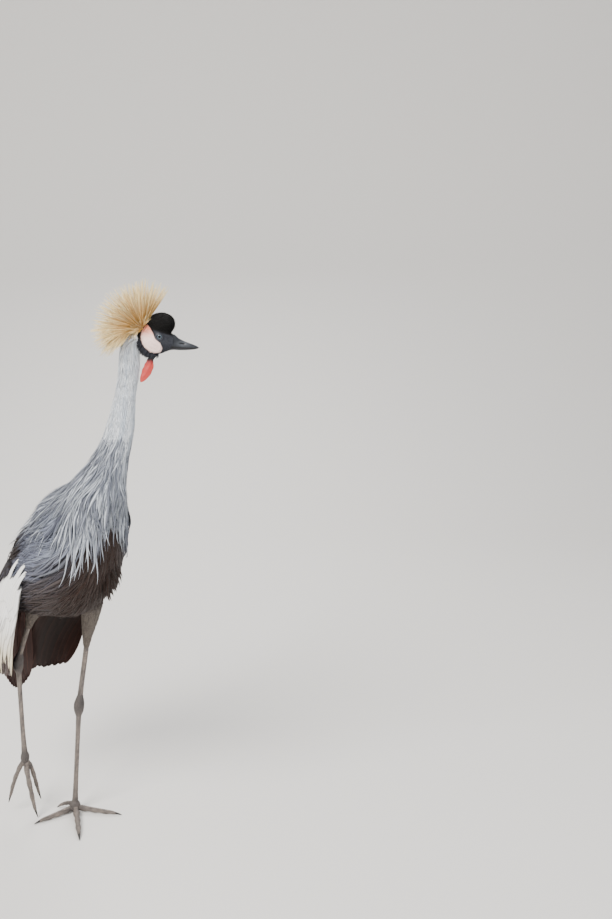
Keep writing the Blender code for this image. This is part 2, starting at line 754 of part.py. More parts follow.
def make_crest(skull, cap, cheeks, neck):
    """A dome at the back of the crown with stiff spines standing out of it like a fan."""
    draw = random.Random(5)
    dome = ball("crest", head_place(*CREST_ROOT), (CREST_DOME, CREST_DOME, CREST_DOME), HEAD_TURN, 0.0, 16, 10)
    finish(dome, "crest", "straw")
    for other in (skull, cap, neck, *cheeks):
        clear_of(dome, other)
    spines = []
    for direction in crest_spines():
        length = CREST_LENGTH * draw.uniform(0.93, 1.0)
        rise, aside = direction
        level = CREST_LEVEL + (rise - CREST_LEVEL) * 0.15 if rise > CREST_LEVEL else rise
        root = np.array(CREST_ROOT)
        path = [root + spine_way(level, aside) * length * share for share in (0.08, SPINE_KNEE)]
        path.append(root + spine_way(rise, aside) * length)
        samples = [path[0] + (path[1] - path[0]) * share for share in np.linspace(0.1, 1.0, 12)]
        samples += [path[1] + (path[2] - path[1]) * share for share in np.linspace(0.0, 1.0, 12)]
        if any(touches_head(at) for at in samples):
            continue
        places = [head_place(*at) for at in path]
        spines.append(tube("spine", places, SPINE_RADII, 3, None, blanks, up=(0.3, 0.5, 0.8)))
    fuse(dome, spines)
    return dome


def spread(path, count, radii):
    """Places along a path, and the half width at each."""
    shares, sizes = zip(*radii)
    return along(path, count), np.interp(np.linspace(0, 1, count), shares, sizes)


def make_legs(torso):
    for side, leg, shin, thigh in (
        ("left", LEFT_LEG, LEFT_SHIN, LEFT_THIGH),
        ("right", RIGHT_LEG, RIGHT_SHIN, RIGHT_THIGH),
    ):
        knuckle = np.array(leg[-1]) + np.array([0.0, 0.0, HOCK_RISE])
        below = unit(np.array(leg[-2]) - knuckle) * HOCK_REACH
        above = unit(np.array(shin[1]) - np.array(shin[0])) * HOCK_REACH
        bend = along([knuckle + below, knuckle, knuckle + above], len(HOCK_RADII))
        hock = tube("hock_" + side, bend, HOCK_RADII, 10, "scaled_leg")
        shank = tube("tarsus_" + side, *spread(leg, 8, SHANK_RADII), 8, "scaled_leg")
        bare = tube("shin_" + side, *spread(shin, 5, SHIN_RADII), 8, "scaled_leg")
        plumed = tube("thigh_" + side, *spread(thigh, 7, THIGH_RADII), 12, "plume_grey")
        make_foot(side, shank)
        clear_of(shank, hock)
        clear_of(bare, hock)
        clear_of(plumed, torso)
        clear_of(bare, plumed)


def make_foot(side, shank):
    if side == "left":
        base = ball("foot_left", LEFT_HUB, LEFT_HUB_SIZE, segments=14, rings=10)
        for vertex in base.data.vertices:
            vertex.co.z = max(vertex.co.z, SOLE)
        weld(base)
    else:
        base = ball("foot_right", RIGHT_HUB, RIGHT_HUB_SIZE, segments=14, rings=10)
    finish(base, "foot_" + side, "scaled_leg")
    clear_of(shank, base)
    made = []
    for name, path, radii in LEFT_TOES if side == "left" else RIGHT_TOES:
        toe = make_toe(name + "_" + side, path, radii)
        for other in (base, shank, *made):
            clear_of(toe, other)
        made.append(toe)


def make_toe(name, path, radii):
    points, sizes = spread(path, TOE_STATIONS, list(zip(np.linspace(0, 1, len(radii)), radii)))
    for step in PAD_STATIONS:
        sizes[step] *= 1.0 + PAD_SWELL * math.cos(2 * math.pi * step / PAD_PITCH)
    return tube(name, points, sizes, 8, "scaled_leg", floor=SOLE)


def weld(obj):
    form = bmesh.new()
    form.from_mesh(obj.data)
    bmesh.ops.remove_doubles(form, verts=form.verts, dist=0.00001)
    form.to_mesh(obj.data)
    form.free()


def vane(name, places, outs, widths, thickness, roll=0.0):
    """A flat feather along a path, both faces split alike. Roll lifts one edge over its neighbour."""
    places = np.asarray(places, float)
    tangents = np.gradient(places, axis=0)
    points = []
    last = len(places) - 1
    for index, (place, out, tangent, width) in enumerate(zip(places, outs, tangents, widths)):
        across = unit(np.cross(tangent, out))
        over = unit(np.cross(across, tangent))
        across, over = across * math.cos(roll) + over * math.sin(roll), over * math.cos(roll) - across * math.sin(roll)
        thick = thickness * (0.55 if index == last else 1.0)
        for wide, high in ((1, 1), (-1, 1), (-1, -1), (1, -1)):
            points.append(place + across * wide * width / 2 + over * high * thick / 2)
    faces = [(0, 1, 2), (0, 2, 3), (4 * last, 4 * last + 2, 4 * last + 1), (4 * last, 4 * last + 3, 4 * last + 2)]
    for index in range(last):
        a, b, c, d = range(4 * index, 4 * index + 4)
        e, f, g, h = range(4 * index + 4, 4 * index + 8)
        faces += [(a, f, b), (a, e, f), (d, c, g), (d, g, h), (a, d, h), (a, h, e), (b, f, g), (b, g, c)]
    return add_mesh(name, points, faces, None, blanks)


def blade(share):
    """How broad a feather is along its length: it widens from its root and rounds to a blunt point."""
    return (0.45 + 0.55 * min(share / 0.35, 1.0)) * (1 - max(share - 0.62, 0.0) ** 2 * 5.6)


def lance(share):
    """The same for a long pointed plume."""
    return (0.55 + 0.45 * min(share / 0.3, 1.0)) * (1 - 0.93 * max(share - 0.3, 0.0) / 0.7)


def make_tail():
    """A short base with overlapping feathers that fan from it, the outer ones in front of the inner."""
    root = along([TAIL_ROOT, TAIL_PATH[0], TAIL_PATH[1]], len(TAIL_BASE_RADII))
    base = tube("tail", root, TAIL_BASE_RADII, 12, "chestnut", up=(1, 0, 0))
    feathers = []
    stations = 6
    path = along(TAIL_PATH, stations)
    shares = np.linspace(0, 1, stations)
    widths = [TAIL_FEATHER_WIDTH * blade(share) for share in shares]
    for index in range(TAIL_FEATHERS):
        place = index - (TAIL_FEATHERS - 1) / 2
        aside = place / (TAIL_FEATHERS / 2)
        rows = []
        for share, (forward, left, up) in zip(shares, path):
            left += TAIL_SPREAD * aside * (0.45 + 0.55 * share)
            rows.append((forward + TAIL_STEP * (abs(place) + 0.5), left, up + TAIL_RISE * share * aside**2))
        feathers.append(vane("feather", rows, [(-1, 0, 0.15)] * stations, widths, TAIL_FEATHER_THICKNESS))
    fuse(base, feathers)
    return base


def wing_place(row, side):
    forward, out, up = row
    ahead, above = WING_SHIFT[side]
    return np.array([forward + ahead, MIDLINE + side * out, up + above])


def sheet(side, q, s):
    """The folded wing as a curtain. q runs from its lower front feather to the rear one, s from root to tip."""
    front, middle, rear = (
        np.array([body_point(t, -side * turn, 0.001), *(wing_place(row, side) for row in feather)])
        for (t, turn), feather in zip(WING_ROOTS, WING_SHEET)
    )
    weights = ((q - 0.5) * (q - 1) * 2, -q * (q - 1) * 4, q * (q - 0.5) * 2)
    rows = weights[0] * front + weights[1] * middle + weights[2] * rear
    keys = np.column_stack([np.linspace(0, 1, len(rows)), rows])
    start = through(keys, 0.0)
    return start + (start - through(keys, 0.02)) * -s / 0.02 if s < 0.0 else through(keys, s)


def sheet_place(side, q, s, lift):
    """A place on the curtain, off the body by the lift, and the way out."""
    here = sheet(side, q, s)
    down = sheet(side, q, min(s + 0.02, 1.0)) - sheet(side, q, s - 0.02)
    back = sheet(side, q + 0.02, s) - sheet(side, q - 0.02, s)
    outward = unit(np.cross(down, back) * side)
    held, radial, reach = drape(here, lift)
    near = float(np.clip(2.6 - 1.6 * reach, 0.0, 1.0))
    outward = unit(outward * (1 - near) + radial * near)
    pushed = np.linalg.norm(held - here)
    return held + outward * max(lift - pushed, 0.0), outward


def make_wing_core(name, side):
    """The folded arm: a lens that lies on the flank."""
    rings = []
    for step in range(11):
        a = math.sin(math.pi * (step / 10 - 0.5)) * 0.985
        spread = (1 - abs(a) ** 2.6) ** 0.5
        outer = []
        inner = []
        for row in range(7):
            b = math.sin(math.pi * (row / 6 - 0.5))
            t = WING_CENTRE[0] + WING_REACH[0] * a
            turn = WING_CENTRE[1] + WING_REACH[1] * b * spread
            rise = 0.0015 + WING_DEPTH * (1 - b**4) ** 0.5 * (1 - a**4) ** 0.5
            outer.append(body_point(t, -side * turn, rise))
            inner.append(body_point(t, -side * turn, -0.004))
        rings.append(outer + inner[::-1])
    return loft(name, rings, "slate")


def wing_feathers(side, draw):
    """Flight feathers under two tiers of coverts, each feather's edge over the next one's."""
    feathers = []
    shares = (0.0, 0.2, 0.5, 0.8, 1.0)
    for tier, (start, end, lift, overlap) in enumerate(WING_TIERS):
        for index in range(WING_FEATHERS):
            q = (index + 0.5 + 0.5 * (tier % 2)) / (WING_FEATHERS + 0.5)
            tip = end * draw.uniform(0.96, 1.0)
            rows = []
            widths = []
            for share in shares:
                s = start + (tip - start) * share
                rows.append(sheet_place(side, q, s, lift if share else WING_ROOT_LIFT))
                step = sheet(side, q + 0.5 / WING_FEATHERS, s) - sheet(side, q - 0.5 / WING_FEATHERS, s)
                widths.append(np.linalg.norm(step) * overlap * blade(share))
            places = np.array([place for place, out in rows])
            outs = [out for place, out in rows]
            feathers.append(vane("feather", places, outs, widths, FEATHER_THICKNESS, side * WING_ROLL))
    return feathers


def shoulder_plumes(side, draw):
    plumes = []
    shares = (0.0, 0.22, 0.5, 0.78, 1.0)
    for count, root, length, first, last, drift, lift, width in SHOULDER_ROWS:
        for index in range(count):
            turn = first + (last - first) * (index + 0.5) / count + draw.uniform(-0.02, 0.02)
            reach = length * draw.uniform(0.9, 1.05)
            places = []
            for share in shares:
                rise = lift * (0.15 + 0.85 * min(share / 0.22, 1.0)) + SHOULDER_FLARE * share**2
                places.append(body_point(root + reach * share, -side * (turn + drift * share**1.5), rise))
            outs = [drape(place, 0.0)[1] for place in places]
            widths = [width * lance(share) for share in shares]
            plumes.append(vane("plume", places, outs, widths, FEATHER_THICKNESS, side * SHOULDER_ROLL))
    return plumes


def make_wing(name, side):
    draw = random.Random(name)
    core = make_wing_core(name, side)
    fuse(core, wing_feathers(side, draw) + shoulder_plumes(side, draw))
    return core


def plume_lift(t, turn):
    """Neck plumes lie close on the breast and back and pass over the folded wing."""
    along_wing = min(max((t - 0.025) / 0.030, 0.0), 1.0)
    low = min(max((math.radians(120) - abs(turn)) / math.radians(14), 0.0), 1.0)
    ramp = along_wing * low
    return 0.0030 + 0.0118 * ramp * ramp * (3 - 2 * ramp)


def neck_side(height, turn, off):
    """A place off the neck's surface at a height, turned as on the body: back, right side, front."""
    rows = sorted((point[2], *point[:2], radius) for point, radius in NECK)
    x, y, radius = through(rows, height)
    away = radius + off
    return np.array([x - away * math.cos(turn), y - away * math.sin(turn), height])


def neck_plumes(draw):
    """Long pointed plumes from the foot of the neck, over the breast, shoulders and back."""
    plumes = []
    for row, (count, height, breast_reach, flank_reach, width) in enumerate(NECK_ROWS):
        for index in range(count):
            turn = 2 * math.pi * (index + 0.5 * (row % 2) + 0.25) / count - math.pi
            front = (1 - math.cos(turn)) / 2
            tip = (flank_reach + (breast_reach - flank_reach) * front**2) * draw.uniform(0.85, 1.1)
            wander = draw.uniform(-0.05, 0.05)
            keys = [neck_side(height, turn, -0.003), neck_side(height - 0.022, turn, 0.0015 + NECK_ROW_STEP * row)]
            for share in (0.5, 0.8, 1.0):
                at = tip * share
                aim = turn + wander * share
                keys.append(body_point(at, aim, plume_lift(at, aim) + NECK_ROW_STEP * row))
            places = along(keys, 6)
            outs = []
            for step, place in enumerate(places):
                t = float(np.dot(place - BODY_START, BACKWARD))
                lift = (plume_lift(t, turn) + NECK_ROW_STEP * row) * min(step / 2, 1.0)
                places[step], radial, reach = drape(place, lift)
                level = unit(neck_side(place[2], turn, 0.1) - neck_side(place[2], turn, 0.0))
                outs.append(unit(radial * min(step / 3, 1.0) + level * (1 - min(step / 3, 1.0))))
            widths = [width * lance(step / 5) for step in range(6)]
            plumes.append(vane("plume", places, outs, widths, FEATHER_THICKNESS, 0.03))
    return plumes


def main():
    start_scene()
    torso = make_torso()
    skull = make_skull()
    cap = make_cap(skull)
    cheeks = make_cheeks(skull, cap)
    make_lids(skull, cheeks)
    make_eyes(skull)
    make_bill(skull)
    make_wattle(skull)
    neck = make_neck(torso, skull, cheeks)
    make_crest(skull, cap, cheeks, neck["neck_upper"])
    make_legs(torso)
    tail = make_tail()
    clear_of(tail, torso)
    for name, side in (("wing_right", -1), ("wing_left", 1)):
        wing = make_wing(name, side)
        for other in (torso, neck["neck_base"], tail):
            clear_of(wing, other)
    bpy.data.collections.remove(blanks)


main()
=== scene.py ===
# Grey crowned crane, standing on its left leg and looking round to its left
import json
import math

import bmesh
import bpy
import numpy as np
from mathutils import Matrix, Vector
from mathutils.bvhtree import BVHTree

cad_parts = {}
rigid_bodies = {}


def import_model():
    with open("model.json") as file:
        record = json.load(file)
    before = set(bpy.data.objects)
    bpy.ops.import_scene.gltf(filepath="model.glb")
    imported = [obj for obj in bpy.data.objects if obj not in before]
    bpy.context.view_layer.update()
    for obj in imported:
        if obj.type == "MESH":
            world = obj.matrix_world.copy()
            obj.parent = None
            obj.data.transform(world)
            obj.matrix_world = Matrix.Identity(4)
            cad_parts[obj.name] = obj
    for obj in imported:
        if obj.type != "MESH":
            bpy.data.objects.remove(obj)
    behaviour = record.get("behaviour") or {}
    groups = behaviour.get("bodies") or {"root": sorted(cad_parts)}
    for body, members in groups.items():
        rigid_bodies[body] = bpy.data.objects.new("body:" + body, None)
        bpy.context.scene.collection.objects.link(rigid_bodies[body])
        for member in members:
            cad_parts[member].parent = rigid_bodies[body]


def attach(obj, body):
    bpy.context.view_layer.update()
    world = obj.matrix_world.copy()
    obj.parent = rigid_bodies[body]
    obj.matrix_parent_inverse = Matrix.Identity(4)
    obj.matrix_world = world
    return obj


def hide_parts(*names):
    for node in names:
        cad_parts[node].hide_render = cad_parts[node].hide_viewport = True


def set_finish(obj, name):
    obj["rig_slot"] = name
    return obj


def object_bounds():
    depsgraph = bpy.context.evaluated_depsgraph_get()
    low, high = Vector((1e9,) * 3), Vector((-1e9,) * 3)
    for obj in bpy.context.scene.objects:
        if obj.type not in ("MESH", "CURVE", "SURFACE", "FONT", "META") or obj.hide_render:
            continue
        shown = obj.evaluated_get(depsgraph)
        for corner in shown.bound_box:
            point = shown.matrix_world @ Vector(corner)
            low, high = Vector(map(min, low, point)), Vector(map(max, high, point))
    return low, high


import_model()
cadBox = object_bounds()
print("frame loaded")

form = {
    "tilt": math.radians(38),
    "midline": -0.040,
    "bodyStart": (0.150, -0.040, 0.664),
    "bodyRows": [  # down the axis, back, belly, half width
        (-0.036, -0.006, -0.020, 0.012), (-0.026, 0.010, -0.031, 0.029), (0.000, 0.021, -0.047, 0.046),
        (0.040, 0.024, -0.081, 0.062), (0.090, 0.025, -0.119, 0.073), (0.150, 0.025, -0.141, 0.078),
        (0.205, 0.024, -0.140, 0.076), (0.255, 0.020, -0.120, 0.070), (0.305, 0.012, -0.090, 0.058),
        (0.345, 0.001, -0.064, 0.044), (0.372, -0.010, -0.048, 0.030), (0.388, -0.020, -0.036, 0.014),
    ],
    "neckRows": [  # centre and half width, from the chest up
        (0.098, -0.040, 0.590, 0.068), (0.117, -0.039, 0.625, 0.0602), (0.132, -0.037, 0.652, 0.0505),
        (0.1435, -0.033, 0.679, 0.0415), (0.1520, -0.0275, 0.705, 0.0345), (0.1630, -0.0200, 0.741, 0.0276),
        (0.1710, -0.0145, 0.776, 0.0250), (0.1765, -0.0118, 0.811, 0.0216), (0.1805, -0.0100, 0.838, 0.0184),
        (0.1850, -0.0083, 0.864, 0.0170), (0.1880, -0.0074, 0.889, 0.0161), (0.1905, -0.0068, 0.913, 0.0156),
        (0.1945, -0.0035, 0.930, 0.0143), (0.2030, 0.0045, 0.939, 0.0112),
    ],
    "head": (0.2262, 0.0282, 0.9400),
    "headTurn": math.radians(48),
    "skullRows": [  # forward of the eyes, middle height, half height, half width
        (-0.0365, -0.006, 0.005, 0.006), (-0.0330, -0.005, 0.014, 0.0105), (-0.0240, -0.004, 0.0235, 0.0155),
        (-0.0110, -0.004, 0.0268, 0.0178), (0.0010, -0.005, 0.0245, 0.0168), (0.0110, -0.007, 0.0185, 0.0135),
        (0.0180, -0.009, 0.0140, 0.0105), (0.0220, -0.0105, 0.0118, 0.0090),
    ],
}


def srgb(red, green, blue):
    parts = [part / 255 for part in (red, green, blue)]
    return np.array([part / 12.92 if part <= 0.04045 else ((part + 0.055) / 1.055) ** 2.4 for part in parts])


# ---- smooth rows, the body's own coordinates
def smoothRows(rows, count=400):
    rows = np.asarray(rows, float)
    places, values = rows[:, 0], rows[:, 1:]
    slopes = np.gradient(values, places, axis=0)
    at = np.linspace(places[0], places[-1], count)
    index = np.clip(np.searchsorted(places, at) - 1, 0, len(places) - 2)
    width = (places[index + 1] - places[index])[:, None]
    u = (at - places[index])[:, None] / width
    curve = (2 * u**3 - 3 * u**2 + 1) * values[index] + (u**3 - 2 * u**2 + u) * slopes[index] * width
    curve += (3 * u**2 - 2 * u**3) * values[index + 1] + (u**3 - u**2) * slopes[index + 1] * width
    return np.column_stack([at, curve])


def readRows(table, at):
    return [np.interp(at, table[:, 0], column) for column in table.T[1:]]


def unit(vectors):
    vectors = np.asarray(vectors, float)
    return vectors / np.maximum(np.linalg.norm(vectors, axis=-1, keepdims=True), 1e-12)


def smoothPath(points, count):
    points = np.asarray(points, float)
    lengths = np.concatenate([[0.0], np.cumsum(np.linalg.norm(np.diff(points[:, :3], axis=0), axis=1))])
    return smoothRows(np.column_stack([lengths, points]), count)[:, 1:]


def ease(low, high, value):
    u = np.clip((value - low) / (high - low), 0.0, 1.0)
    return u * u * (3 - 2 * u)


backward = np.array([-math.cos(form["tilt"]), 0.0, -math.sin(form["tilt"])])
dorsal = np.array([-math.sin(form["tilt"]), 0.0, math.cos(form["tilt"])])
rightward = np.array([0.0, -1.0, 0.0])
bodyStart = np.array(form["bodyStart"])
bodyTable = smoothRows(form["bodyRows"])
neckPath = smoothPath(form["neckRows"], 240)
headPlaceAt = np.array(form["head"])


def bodyPoint(t, turn, lift=0.0):
    top, bottom, half = readRows(bodyTable, t)
    middle, tall = (top + bottom) / 2, (top - bottom) / 2
    t, turn = np.asarray(t, float), np.asarray(turn, float)
    cosine, sine = np.cos(turn)[..., None], np.sin(turn)[..., None]
    base = bodyStart + backward * t[..., None] + dorsal * middle[..., None]
    place = base + dorsal * tall[..., None] * cosine + rightward * half[..., None] * sine
    outward = unit(dorsal * cosine / tall[..., None] + rightward * sine / half[..., None])
    return place + outward * np.asarray(lift, float)[..., None], outward


def bodyPlace(points):
    offset = points - bodyStart
    t = offset @ backward
    top, bottom, half = readRows(bodyTable, t)
    up = offset @ dorsal - (top + bottom) / 2
    side = offset @ rightward
    tall = (top - bottom) / 2
    return t, np.arctan2(side / half, up / tall), np.hypot(side / half, up / tall)


def drape(points, lift):
    offset = points - bodyStart
    t = offset @ backward
    top, bottom, half = readRows(bodyTable, t)
    middle, tall = (top + bottom) / 2, (top - bottom) / 2
    up, side = offset @ dorsal - middle, offset @ rightward
    outward = unit(dorsal * (up / tall**2)[:, None] + rightward * (side / half**2)[:, None])
    reach = np.hypot(up / tall, side / half)
    edge = np.hypot(up / (tall + lift), side / (half + lift))
    inside = (t > form["bodyRows"][0][0]) & (t < form["bodyRows"][-1][0]) & (edge < 1.0)
    scale = np.where(inside, 1.0 / np.maximum(edge, 1e-6), 1.0)
    held = bodyStart + backward * t[:, None] + dorsal * (middle + up * scale)[:, None] + rightward * (side * scale)[:, None]
    return held, outward, reach


def headPlace(forward, left, up):
    c, s = math.cos(form["headTurn"]), math.sin(form["headTurn"])
    forward, left, up = np.broadcast_arrays(*(np.asarray(value, float) for value in (forward, left, up)))
    return headPlaceAt + np.stack([forward * c - left * s, forward * s + left * c, up], axis=-1)


def headLocal(points):
    c, s = math.cos(form["headTurn"]), math.sin(form["headTurn"])
    offset = np.asarray(points, float) - headPlaceAt
    return offset[..., 0] * c + offset[..., 1] * s, -offset[..., 0] * s + offset[..., 1] * c, offset[..., 2]


# ---- meshes
def newMesh(name, points, faces, material=None, tint=None, uvs=None, sharp=None):
    mesh = bpy.data.meshes.new(name)
    points, faces = np.asarray(points, np.float32), np.asarray(faces, np.int32)
    corners = faces.shape[1]
    mesh.vertices.add(len(points))
    mesh.vertices.foreach_set("co", points.ravel())
    mesh.loops.add(faces.size)
    mesh.loops.foreach_set("vertex_index", faces.ravel())
    mesh.polygons.add(len(faces))
    mesh.polygons.foreach_set("loop_start", np.arange(0, faces.size, corners, dtype=np.int32))
    mesh.update(calc_edges=True)
    mesh.polygons.foreach_set("use_smooth", np.ones(len(faces), bool))
    for layer, values in (uvs or {}).items():
        uvLayer = mesh.uv_layers.new(name=layer)
        uvLayer.data.foreach_set("uv", np.asarray(values, np.float32)[faces.ravel()].ravel())
    if tint is not None:
        addTint(mesh, tint)
    if sharp is not None:
        ends = np.zeros(len(mesh.edges) * 2, np.int32)
        mesh.edges.foreach_get("vertices", ends)
        ends = ends.reshape(-1, 2)
        hard = (sharp[ends[:, 0]] == sharp[ends[:, 1]]) & (sharp[ends[:, 0]] > 0)
        mesh.attributes.new("sharp_edge", "BOOLEAN", "EDGE").data.foreach_set("value", hard)
    obj = bpy.data.objects.new(name, mesh)
    bpy.context.scene.collection.objects.link(obj)
    if material is not None:
        mesh.materials.append(material)
    return obj


def addTint(mesh, tint):
    layer = mesh.color_attributes.new("tint", "FLOAT_COLOR", "POINT")
    colours = np.ones((len(tint), 4), np.float32)
    colours[:, :3] = tint
    layer.data.foreach_set("color", colours.ravel())


def ringFaces(rings, sides, closed=True):
    step = np.arange(rings - 1)[:, None] * sides
    side = np.arange(sides if closed else sides - 1)[None, :]
    following = (side + 1) % sides
    a, b, c, d = step + side, step + following, step + sides + following, step + sides + side
    return np.concatenate([np.stack([a, b, c], -1).reshape(-1, 3), np.stack([a, c, d], -1).reshape(-1, 3)])


def tubeRings(path, radii, sides, up=(0.0, 0.0, 1.0)):
    path = np.asarray(path, float)
    radii = np.asarray(radii, float)
    if radii.ndim == 1:
        radii = np.column_stack([radii, radii])
    tangents = unit(np.gradient(path, axis=0))
    across = np.cross(tangents[0], up)
    if np.linalg.norm(across) < 1e-6:
        across = np.array([1.0, 0.0, 0.0])
    angles = 2 * math.pi * (np.arange(sides) + 0.5) / sides
    rings = []
    for point, tangent, (wide, tall) in zip(path, tangents, radii):
        across = unit(across - tangent * np.dot(across, tangent))
        over = np.cross(across, tangent)
        rings.append(point + np.outer(np.cos(angles) * wide, across) + np.outer(np.sin(angles) * tall, over))
    return np.array(rings)


def closedRings(rings):
    count, sides = rings.shape[:2]
    points = np.concatenate([rings.reshape(-1, 3), [rings[0].mean(axis=0)], [rings[-1].mean(axis=0)]])
    around = np.arange(sides)
    following = (around + 1) % sides
    first, last = count * sides, count * sides + 1
    caps = [np.stack([following, around, np.full(sides, first)], -1)]
    caps.append(np.stack([around + (count - 1) * sides, following + (count - 1) * sides, np.full(sides, last)], -1))
    return points, np.concatenate([ringFaces(count, sides), *caps])


def outwardMesh(name, parts, material=None):
    points, faces, start = [], [], 0
    for partPoints, partFaces in parts:
        points.append(partPoints)
        faces.append(partFaces + start)
        start += len(partPoints)
    obj = newMesh(name, np.concatenate(points), np.concatenate(faces), material)
    tidy = bmesh.new()
    tidy.from_mesh(obj.data)
    bmesh.ops.recalc_face_normals(tidy, faces=tidy.faces)
    tidy.to_mesh(obj.data)
    tidy.free()
    return obj


def ballPart(centre, size, turn=0.0, tilt=0.0, segments=32, rings=20):
    ball = bmesh.new()
    bmesh.ops.create_uvsphere(ball, u_segments=segments, v_segments=rings, radius=1.0)
    ball.transform(Matrix.Translation(Vector(centre)) @ Matrix.Rotation(turn, 4, "Z") @ Matrix.Rotation(-tilt, 4, "Y") @ Matrix.Diagonal((*size, 1.0)))
    bmesh.ops.triangulate(ball, faces=ball.faces)
    points = np.array([vertex.co for vertex in ball.verts])
    ball.verts.ensure_lookup_table()
    faces = np.array([[vertex.index for vertex in face.verts] for face in ball.faces])
    ball.free()
    return points, faces


def plainMesh(obj):
    graph = bpy.context.evaluated_depsgraph_get()
    mesh = bpy.data.meshes.new_from_object(obj.evaluated_get(graph), depsgraph=graph)
    obj.modifiers.clear()
    old = obj.data
    obj.data = mesh
    bpy.data.meshes.remove(old)
    obj.data.name = obj.name
    return obj


def remesh(obj, voxel, smoothing):
    change = obj.modifiers.new("remesh", "REMESH")
    change.mode = "VOXEL"
    change.voxel_size = voxel
    change.use_smooth_shade = True
    soften = obj.modifiers.new("soften", "SMOOTH")
    soften.factor = 0.5
    soften.iterations = smoothing
    return plainMesh(obj)


def meshPoints(obj):
    points = np.zeros(len(obj.data.vertices) * 3, np.float32)
    obj.data.vertices.foreach_get("co", points)
    return points.reshape(-1, 3).astype(float)


def movePoints(obj, points):
    obj.data.vertices.foreach_set("co", np.asarray(points, np.float32).ravel())
    obj.data.update()


def meshNormals(obj):
    normals = np.zeros(len(obj.data.vertices) * 3, np.float32)
    obj.data.vertices.foreach_get("normal", normals)
    return normals.reshape(-1, 3).astype(float)


def groundOf(obj):
    return BVHTree.FromPolygons([tuple(point) for point in meshPoints(obj)], [tuple(face.vertices) for face in obj.data.polygons])


def waves(points, scale, seed=0):
    draw = np.random.default_rng(seed)
    total = np.zeros(len(points))
    for octave in range(4):
        way = unit(draw.normal(size=3)) * (1.0 + 0.6 * octave) / scale
        total += np.sin(points @ way * 2 * math.pi + draw.uniform(0, 6.28)) / (1 + 0.5 * octave)
    return total / 2.4


# ---- shader groups
def newGroup(name, inputs, outputs):
    group = bpy.data.node_groups.new(name, "ShaderNodeTree")
    for title, value in inputs:
        socket = group.interface.new_socket(title, in_out="INPUT", socket_type="NodeSocketFloat")
        socket.default_value = value
    for title, kind in outputs:
        group.interface.new_socket(title, in_out="OUTPUT", socket_type=kind)
    return group, group.nodes.new("NodeGroupInput"), group.nodes.new("NodeGroupOutput")


def mathNode(tree, operation, first, second=0.5, third=None):
    node = tree.nodes.new("ShaderNodeMath")
    node.operation = operation
    for socket, value in zip(node.inputs, (first, second, third)):
        if isinstance(value, bpy.types.NodeSocket):
            tree.links.new(value, socket)
        elif value is not None:
            socket.default_value = value
    return node.outputs[0]


def noiseNode(tree, vector, scale, detail=3.0, rough=0.55):
    node = tree.nodes.new("ShaderNodeTexNoise")
    if vector is not None:
        tree.links.new(vector, node.inputs["Vector"])
    for title, value in (("Scale", scale), ("Detail", detail), ("Roughness", rough)):
        if isinstance(value, bpy.types.NodeSocket):
            tree.links.new(value, node.inputs[title])
        else:
            node.inputs[title].default_value = value
    return node.outputs["Fac"]


def objectCoords(tree):
    return tree.nodes.new("ShaderNodeTexCoord").outputs["Object"]


def makeBarbs():
    group, given, out = newGroup("barbs", [("Barbs", 40.0), ("Depth", 0.3), ("Rachis", 0.2), ("Edge", 0.0)], [("Shade", "NodeSocketFloat"), ("Height", "NodeSocketFloat")])
    layer = group.nodes.new("ShaderNodeUVMap")
    layer.uv_map = "vane"
    split = group.nodes.new("ShaderNodeSeparateXYZ")
    group.links.new(layer.outputs[0], split.inputs[0])
    aside = mathNode(group, "ABSOLUTE", mathNode(group, "SUBTRACT", split.outputs[0], 0.5))
    slant = mathNode(group, "SUBTRACT", split.outputs[1], mathNode(group, "MULTIPLY", aside, 0.22))
    rough = noiseNode(group, layer.outputs[0], 9.0, 2.0)
    phase = mathNode(group, "ADD", mathNode(group, "MULTIPLY", slant, given.outputs["Barbs"]), mathNode(group, "MULTIPLY", rough, 2.5))
    stripe = mathNode(group, "MULTIPLY_ADD", mathNode(group, "SINE", mathNode(group, "MULTIPLY", phase, 6.283)), 0.5, 0.5)
    midrib = mathNode(group, "LESS_THAN", aside, 0.045)
    shade = mathNode(group, "SUBTRACT", 1.0, mathNode(group, "MULTIPLY", stripe, given.outputs["Depth"]))
    shade = mathNode(group, "ADD", shade, mathNode(group, "MULTIPLY", midrib, given.outputs["Rachis"]))
    # A positive Edge darkens the vane's rim, painted shade where the feathers overlap; a negative Edge gives the paler
    # fringe of the plumes
    rim = group.nodes.new("ShaderNodeMapRange")
    rim.interpolation_type = "SMOOTHSTEP"
    rim.inputs["From Min"].default_value, rim.inputs["From Max"].default_value = 0.30, 0.50
    group.links.new(aside, rim.inputs["Value"])
    shade = mathNode(group, "SUBTRACT", shade, mathNode(group, "MULTIPLY", rim.outputs[0], given.outputs["Edge"]))
    group.links.new(shade, out.inputs["Shade"])
    group.links.new(mathNode(group, "ADD", stripe, midrib), out.inputs["Height"])
    return group


def makeMottle():
    group, given, out = newGroup("mottle", [("Scale", 60.0), ("Amount", 0.3)], [("Shade", "NodeSocketFloat"), ("Height", "NodeSocketFloat")])
    grain = noiseNode(group, objectCoords(group), given.outputs["Scale"], 4.0, 0.6)
    swing = mathNode(group, "MULTIPLY", mathNode(group, "SUBTRACT", grain, 0.5), given.outputs["Amount"])
    group.links.new(mathNode(group, "MULTIPLY_ADD", swing, 2.0, 1.0), out.inputs["Shade"])
    group.links.new(grain, out.inputs["Height"])
    return group


